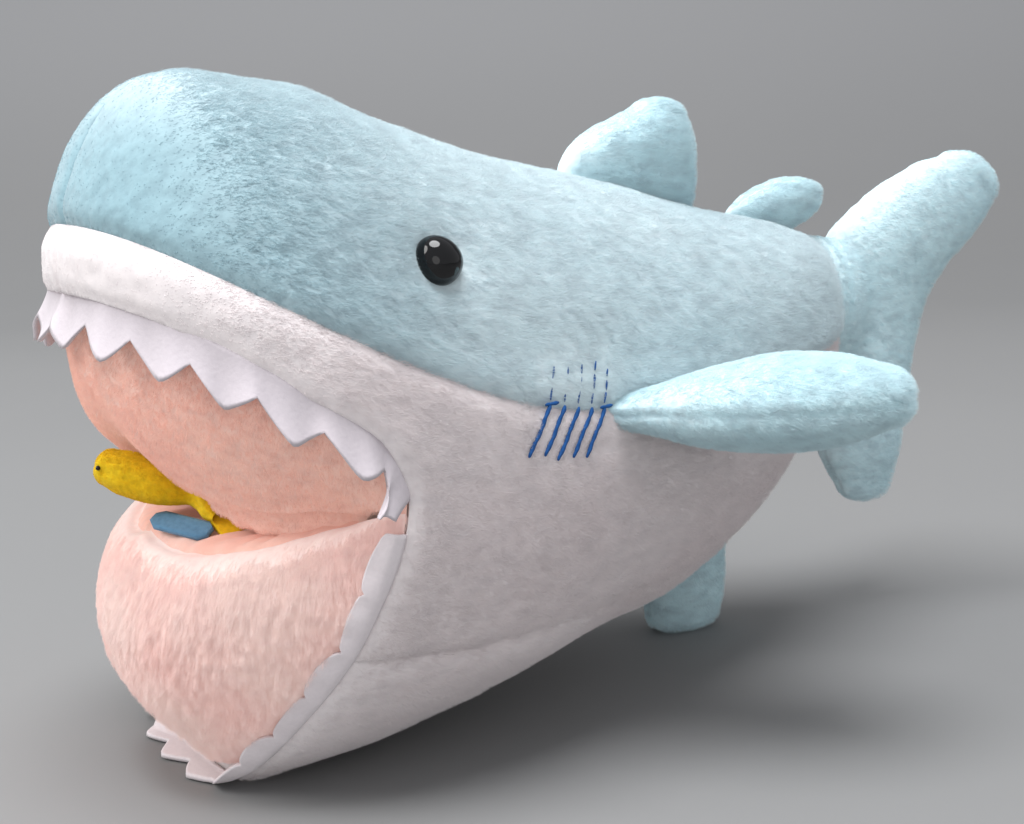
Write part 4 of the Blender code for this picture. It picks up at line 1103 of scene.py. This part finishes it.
def tail_neck():
    """Neck with two ring creases that the crescent is gathered into, running forward into the body's end."""
    sides = 56
    angles = 2 * np.pi * np.arange(sides) / sides
    rows = ((0.0885, 0.0120, 0.0190), (0.0915, 0.0140, 0.0208), (0.0935, 0.0150, 0.0216),
            (0.0950, 0.0132, 0.0200), (0.0966, 0.0150, 0.0216), (0.0984, 0.0152, 0.0218),
            (0.1000, 0.0134, 0.0202), (0.1018, 0.0148, 0.0212), (0.1060, 0.0135, 0.0204),
            (0.1130, 0.0100, 0.0175))
    rings = [[(x * math.cos(a), y, TAIL_HINGE_Z + z * math.sin(a)) for a in angles] for y, x, z in rows]
    return closed_tube(np.array(rings), (0.0, rows[0][0], TAIL_HINGE_Z), (0.0, rows[-1][0], TAIL_HINGE_Z))


def tail_fin():
    """Crescent and neck joined into one cover, with a seam round its edge and gathers at the neck."""
    rings, low, high = lobe_rings()
    lobe = turn_outward(make_object("tail_lobes", *closed_tube(rings, low, high), AQUA))
    neck = turn_outward(make_object("tail_neck", *tail_neck(), AQUA))
    join = lobe.modifiers.new("join", "BOOLEAN")
    join.operation = "UNION"
    join.object = neck
    melt = lobe.modifiers.new("melt", "REMESH")
    melt.mode = "VOXEL"
    melt.voxel_size = 0.9 * MM
    relax = lobe.modifiers.new("relax", "SMOOTH")
    relax.iterations = 6
    shape = evaluated_mesh(lobe)
    points = np.array([v.co - FRAME_SHIFT for v in shape.vertices])
    faces = [tuple(p.vertices) for p in shape.polygons]
    for obj in (lobe, neck):
        bpy.data.objects.remove(obj)
    seam = np.abs(points[:, 0]) + np.where(points[:, 1] < 0.1, 10 * MM, 0)
    return fin_object("tail_fin_cloth", points, faces, seam, 0.9 * MM)


tail = tail_fin()
hinge = Vector((0.0, TAIL_HINGE_Y, TAIL_HINGE_Z)) + FRAME_SHIFT
finish_piece(tail, "body", ("tail_fin_cover", "tail_fin_stuffing"),
             blend_to=("tail", tuple(hinge - Vector((0, 4 * MM, 0))), tuple(hinge + Vector((0, 8 * MM, 0)))))
add_pile(tail, 3600, 1.6 * MM, (0.0, 0.8, -0.3))


# Eyes

def turned_dome(name, where, axis, radius, height, stretch, material, rings=14, sides=40):
    """Glossy dome with a short rim below it; stretch makes it egg-shaped along one direction."""
    axis = Vector(axis).normalized()
    tall = Vector(stretch[0]) - axis * Vector(stretch[0]).dot(axis)
    tall.normalize()
    wide = axis.cross(tall)
    rows = [(radius * math.sin(a), height * math.cos(a)) for a in np.linspace(0.06, np.pi / 2, rings)]
    rows += [(radius * 1.0, -0.6 * MM), (radius * 0.9, -1.4 * MM), (radius * 0.3, -1.6 * MM)]
    points = [Vector(where) + axis * height]
    for out, up in rows:
        for k in range(sides):
            a = 2 * math.pi * k / sides
            egg = 1 + 0.07 * math.cos(a)
            points.append(Vector(where) + axis * up + tall * (out * stretch[1] * egg * math.cos(a))
                          + wide * (out * math.sin(a)))
    faces = [(0, 1 + k, 1 + (k + 1) % sides) for k in range(sides)]
    faces += [tuple(reversed(face)) for face in grid_faces(len(rows), sides, wrap=True, start=1)]
    return turn_outward(make_object(name, points, faces, material))


for side, word in ((1, "left"), (-1, "right")):
    normal = flank_normal(EYE_Y, EYE_Z)
    axis = Vector((normal.x * side, normal.y, normal.z))
    where = on_flank(EYE_Y, EYE_Z, side, -0.8 * MM)
    eye = turned_dome(f"eye_{word}_bead", where, axis, 5.6 * MM, 5.4 * MM, ((0.0, -0.35, 1.0), 1.06), BEAD)
    finish_piece(eye, "body", (f"eye_{word}",))


# Gill stitches

def thread_run(path, radius, sides=8):
    """Twisted thread along a list of points, as a closed tube with rounded ends."""
    path = [Vector(p) for p in path]
    rings = []
    for i, p in enumerate(path):
        ahead = (path[min(i + 1, len(path) - 1)] - path[max(i - 1, 0)]).normalized()
        side = ahead.cross(Vector((1, 0, 0))).normalized()
        up = side.cross(ahead).normalized()
        end = min(i, len(path) - 1 - i)
        size = radius * (0.45, 0.8, 1.0)[min(end, 2)]
        ring = []
        for k in range(sides):
            a = 2 * math.pi * k / sides
            twist = 1 + 0.18 * math.cos(2 * a + i * 0.9)
            ring.append(p + side * (size * twist * math.cos(a)) + up * (size * 0.7 * twist * math.sin(a)))
        rings.append(ring)
    points, faces = closed_tube(np.array(rings), np.array(path[0]), np.array(path[-1]))
    return list(points), faces


def gill_stitch(word, side, index):
    """One embroidered gill: a solid bar on the white cloth and broken stitches sunk in the blue pile."""
    y = GILL_Y - GILL_SHIFT + index * GILL_PITCH * GILL_SPREAD
    seam = float(read(COLOUR_SEAM, y))
    wander = np.random.default_rng(SEED + index * 2 + (side > 0))
    points, faces = [], []

    def sew(path, radius):
        made, quads = thread_run(path, radius)
        faces.extend(tuple(i + len(points) for i in face) for face in quads)
        points.extend(made)

    def stitch(low, high, radius, lift):
        steps = max(int((high - low) / (0.35 * MM)), 5)
        path = []
        for height in np.linspace(low, high, steps):
            lean = GILL_LEAN_ABOVE if height > 0 else GILL_LEAN_BELOW
            sway = 0.12 * MM * math.sin(height * 900 + index)
            path.append(on_flank(y + height * lean + sway, seam + height, side, lift))
        sew(path, radius)

    stitch(-GILL_BELOW + wander.uniform(0, 1) * MM, 0.6 * MM, 0.52 * MM, 0.9 * MM)
    low = 1.4 * MM
    while low < GILL_ABOVE - 1.5 * MM:
        high = min(low + wander.uniform(1.6, 3.6) * MM, GILL_ABOVE)
        stitch(low, high, 0.30 * MM, 0.6 * MM)
        low = high + wander.uniform(0.3, 1.3) * MM
    if index in (0, GILLS - 1):
        sew([on_flank(y - 1.5 * MM + along * 4.4 * MM, seam + 0.5 * MM, side, 0.9 * MM)
             for along in np.linspace(0, 1, 9)], 0.45 * MM)
    node = f"gill_stitch_{word}_{index + 1}"
    finish_piece(make_object(node + "_thread", points, faces, THREAD), "body", (node,))


for side, word in ((1, "left"), (-1, "right")):
    for gill in range(GILLS):
        gill_stitch(word, side, gill)


# Prey fish

def build_fish():
    """Body of the prey fish, gathered at its neck, with its tail end turned aside along the crease."""
    neck, nose, tail_end = Vector(FISH_NECK), Vector(FISH_NOSE), Vector(FISH_TAIL_END)
    along = (nose - neck).normalized()
    side = Vector((0, 0, 1)).cross(along).normalized()
    up = along.cross(side)
    aside = Vector((0, 0, 1)).cross(neck - tail_end).normalized()
    rows = [lens(tail_end.lerp(neck, t), aside.lerp(side, t), up, half, deep)
            for t, half, deep in ((0.0, 0.0030, 0.0016), (0.45, 0.0034, 0.0026), (0.85, 0.0025, 0.0023))]
    rows += [lens(neck.lerp(nose, t), side, up, half, deep)
             for t, half, deep in ((0.04, 0.0023, 0.0022), (0.20, 0.0039, 0.0037), (0.42, 0.0053, 0.0050),
                                   (0.66, 0.0055, 0.0053), (0.84, 0.0045, 0.0044))]
    obj = build_fin("fish_cloth", rows, neck.lerp(nose, 0.97), depth=0.3 * MM)
    obj.data.materials.clear()
    obj.data.materials.append(YELLOW)
    refine(obj)
    finish_piece(obj, "fish", ("fish_cover", "fish_stuffing"))
    add_pile(obj, 800, 0.8 * MM, (0.0, 0.6, 0.0), children=20)
    return neck, nose, side, up


def felt_leaf(name, outline, centre, across, along, bend, material, node):
    """Cut felt with an outline of (across, along) points, cupped a little."""
    across, along = Vector(across).normalized(), Vector(along).normalized()
    up = across.cross(along).normalized()
    mesh = bmesh.new()
    corners = [mesh.verts.new(Vector(centre) + across * a + along * b) for a, b in outline]
    mesh.faces.new(corners)
    bmesh.ops.triangulate(mesh, faces=mesh.faces)
    bmesh.ops.subdivide_edges(mesh, edges=mesh.edges, cuts=5, use_grid_fill=True)
    for v in mesh.verts:
        out = (v.co - Vector(centre)).dot(across)
        v.co += up * (bend * out**2)
    made = bmesh.ops.extrude_face_region(mesh, geom=mesh.faces)
    for v in (g for g in made["geom"] if isinstance(g, bmesh.types.BMVert)):
        v.co += up * FELT
    bmesh.ops.recalc_face_normals(mesh, faces=mesh.faces)
    data = bpy.data.meshes.new(name)
    mesh.to_mesh(data)
    mesh.free()
    finish_piece(place_mesh(name, data, material), "fish", (node,))


neck, nose, side_way, up_way = build_fish()
tail_end = Vector(FISH_TAIL_END)
trail = (tail_end - neck).normalized()
felt_leaf(
    "fish_tail_felt",
    ((0.0016, -0.0040), (0.0032, 0.0010), (0.0062, 0.0078), (0.0020, 0.0060),
     (-0.0020, 0.0074), (-0.0046, 0.0080), (-0.0030, 0.0010), (-0.0016, -0.0040)),
    tail_end - Vector((0.0, 0.0, 0.0008)), (-trail.y, trail.x, 0.35), trail, -18.0,
    YELLOW_FELT, "fish_tail")
felt_leaf(
    "fish_fin_felt",
    ((-0.0013, -0.0088), (0.0013, -0.0088), (0.0028, -0.0068), (0.0028, 0.0068), (0.0013, 0.0088),
     (-0.0013, 0.0088), (-0.0028, 0.0068), (-0.0028, -0.0068)),
    (0.0100, -0.1185, 0.0640), (0.40, -0.80, -0.45), (0.87, 0.46, -0.10), -14.0,
    BLUE_FELT, "fish_fin")
for sign, word in ((1, "left"), (-1, "right")):
    axis = (side_way * sign + up_way * 0.25 * sign).normalized()
    where = neck.lerp(nose, 0.88) + side_way * 0.0042 * sign + up_way * 0.0004
    bead = turned_dome(f"fish_eye_{word}_bead", where, axis, 0.6 * MM, 0.6 * MM, ((0, 0, 1), 1.0), BEAD,
                       6, 16)
    finish_piece(bead, "fish", (f"fish_eye_{word}",))


# What shows or hides inside: the CAD's own fillings, pocket and washers

for name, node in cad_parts.items():
    if node.hide_render:
        continue
    material = FILLING if name.endswith("stuffing") else PALATE if name == "throat_pocket" else WASHER
    node.data.materials.clear()
    node.data.materials.append(material)


# Studio

CAMERA_AZIMUTH = 57.18
CAMERA_ELEVATION = 9.68
CAMERA_DISTANCE = 0.44503
CAMERA_TARGET = (-0.02633, -0.00038, 0.07378)
CAMERA_LENS = 51.92
CAMERA_ROLL = -1.44


def build_studio():
    """Grey floor that sweeps up behind the shark, painted lighter further up to stand in for light falling on
    the backdrop.
    """
    sweep = bpy.data.meshes.new("studio_floor")
    profile = [(-2.5, 0.0), (1.0, 0.0)] + [
        (1.0 + 1.5 * math.sin(a), 1.5 - 1.5 * math.cos(a)) for a in np.linspace(0.05, math.pi / 2, 24)]
    profile.append((2.5, 3.0))
    turn = math.radians(CAMERA_AZIMUTH)
    ahead, across = Vector((-math.sin(turn), math.cos(turn), 0)), Vector((math.cos(turn), math.sin(turn), 0))
    points = [ahead * run + across * wide + Vector((0, 0, rise - 0.0002))
              for run, rise in profile for wide in (-4.0, 4.0)]
    sweep.from_pydata(points, [], [(2 * i, 2 * i + 1, 2 * i + 3, 2 * i + 2) for i in range(len(profile) - 1)])
    sweep.shade_smooth()
    material, tree, shader = new_material("studio_grey")
    place = tree.nodes.new("ShaderNodeTexCoord").outputs["Object"]
    greys = ((0.3, (0.228, 0.228, 0.228)), (0.7, (0.236, 0.236, 0.236)))
    tone = add_ramp(tree, add_noise(tree, place, 3.0, 3.0), greys)
    # Painted light: the grey turns lighter with height, standing in for light on the backdrop.
    split = tree.nodes.new("ShaderNodeSeparateXYZ")
    tree.links.new(place, split.inputs["Vector"])
    rise = tree.nodes.new("ShaderNodeMapRange")
    rise.interpolation_type = "SMOOTHSTEP"
    rise.inputs["From Max"].default_value = 0.45
    tree.links.new(split.outputs["Z"], rise.inputs["Value"])
    tone = add_mix(tree, rise.outputs["Result"], tone, (0.29, 0.29, 0.295))
    tree.links.new(tone, shader.inputs["Base Color"])
    shader.inputs["Roughness"].default_value = 0.75
    sweep.materials.append(material)
    floor = bpy.data.objects.new("studio_floor", sweep)
    bpy.context.scene.collection.objects.link(floor)


def add_light(name, place, target, size, power_w, colour):
    data = bpy.data.lights.new(name, "AREA")
    data.shape = "DISK"
    data.size = size
    data.energy = power_w
    data.color = colour
    light = bpy.data.objects.new(name, data)
    light.location = place
    light.rotation_euler = (Vector(target) - Vector(place)).to_track_quat("-Z", "Y").to_euler()
    bpy.context.scene.collection.objects.link(light)


def build_camera():
    """Camera at the photo's angle, a little above the shark and round on its left."""
    azimuth, elevation = math.radians(CAMERA_AZIMUTH), math.radians(CAMERA_ELEVATION)
    back = Vector((math.sin(azimuth) * math.cos(elevation), -math.cos(azimuth) * math.cos(elevation),
                   math.sin(elevation)))
    data = bpy.data.cameras.new("camera")
    data.lens = CAMERA_LENS
    data.sensor_width = 36.0
    camera = bpy.data.objects.new("camera", data)
    camera.location = Vector(CAMERA_TARGET) + FRAME_SHIFT + back * CAMERA_DISTANCE
    camera.rotation_euler = (-back).to_track_quat("-Z", "Y").to_euler()
    camera.rotation_euler.rotate_axis("Z", math.radians(CAMERA_ROLL))
    data.clip_start = 0.01
    bpy.context.scene.collection.objects.link(camera)
    bpy.context.scene.camera = camera


build_studio()
build_camera()
add_light("key", (-0.55, -1.75, 1.60), (0.0, -0.02, 0.08), 1.3, 28.0, (1.0, 0.99, 0.97))
add_light("top", (0.15, -0.35, 2.40), (0.0, 0.0, 0.08), 1.5, 64.0, (0.97, 0.98, 1.0))
add_light("fill", (1.60, -1.30, 0.60), (0.0, 0.0, 0.08), 1.2, 4.0, (1.0, 0.98, 0.97))
world = bpy.data.worlds.new("soft_room")
world.use_nodes = True
sky = world.node_tree.nodes["Background"]
sky.inputs["Color"].default_value = (0.80, 0.82, 0.85, 1.0)
sky.inputs["Strength"].default_value = 0.66
bpy.context.scene.world = world
bpy.context.scene.view_settings.view_transform = "Standard"
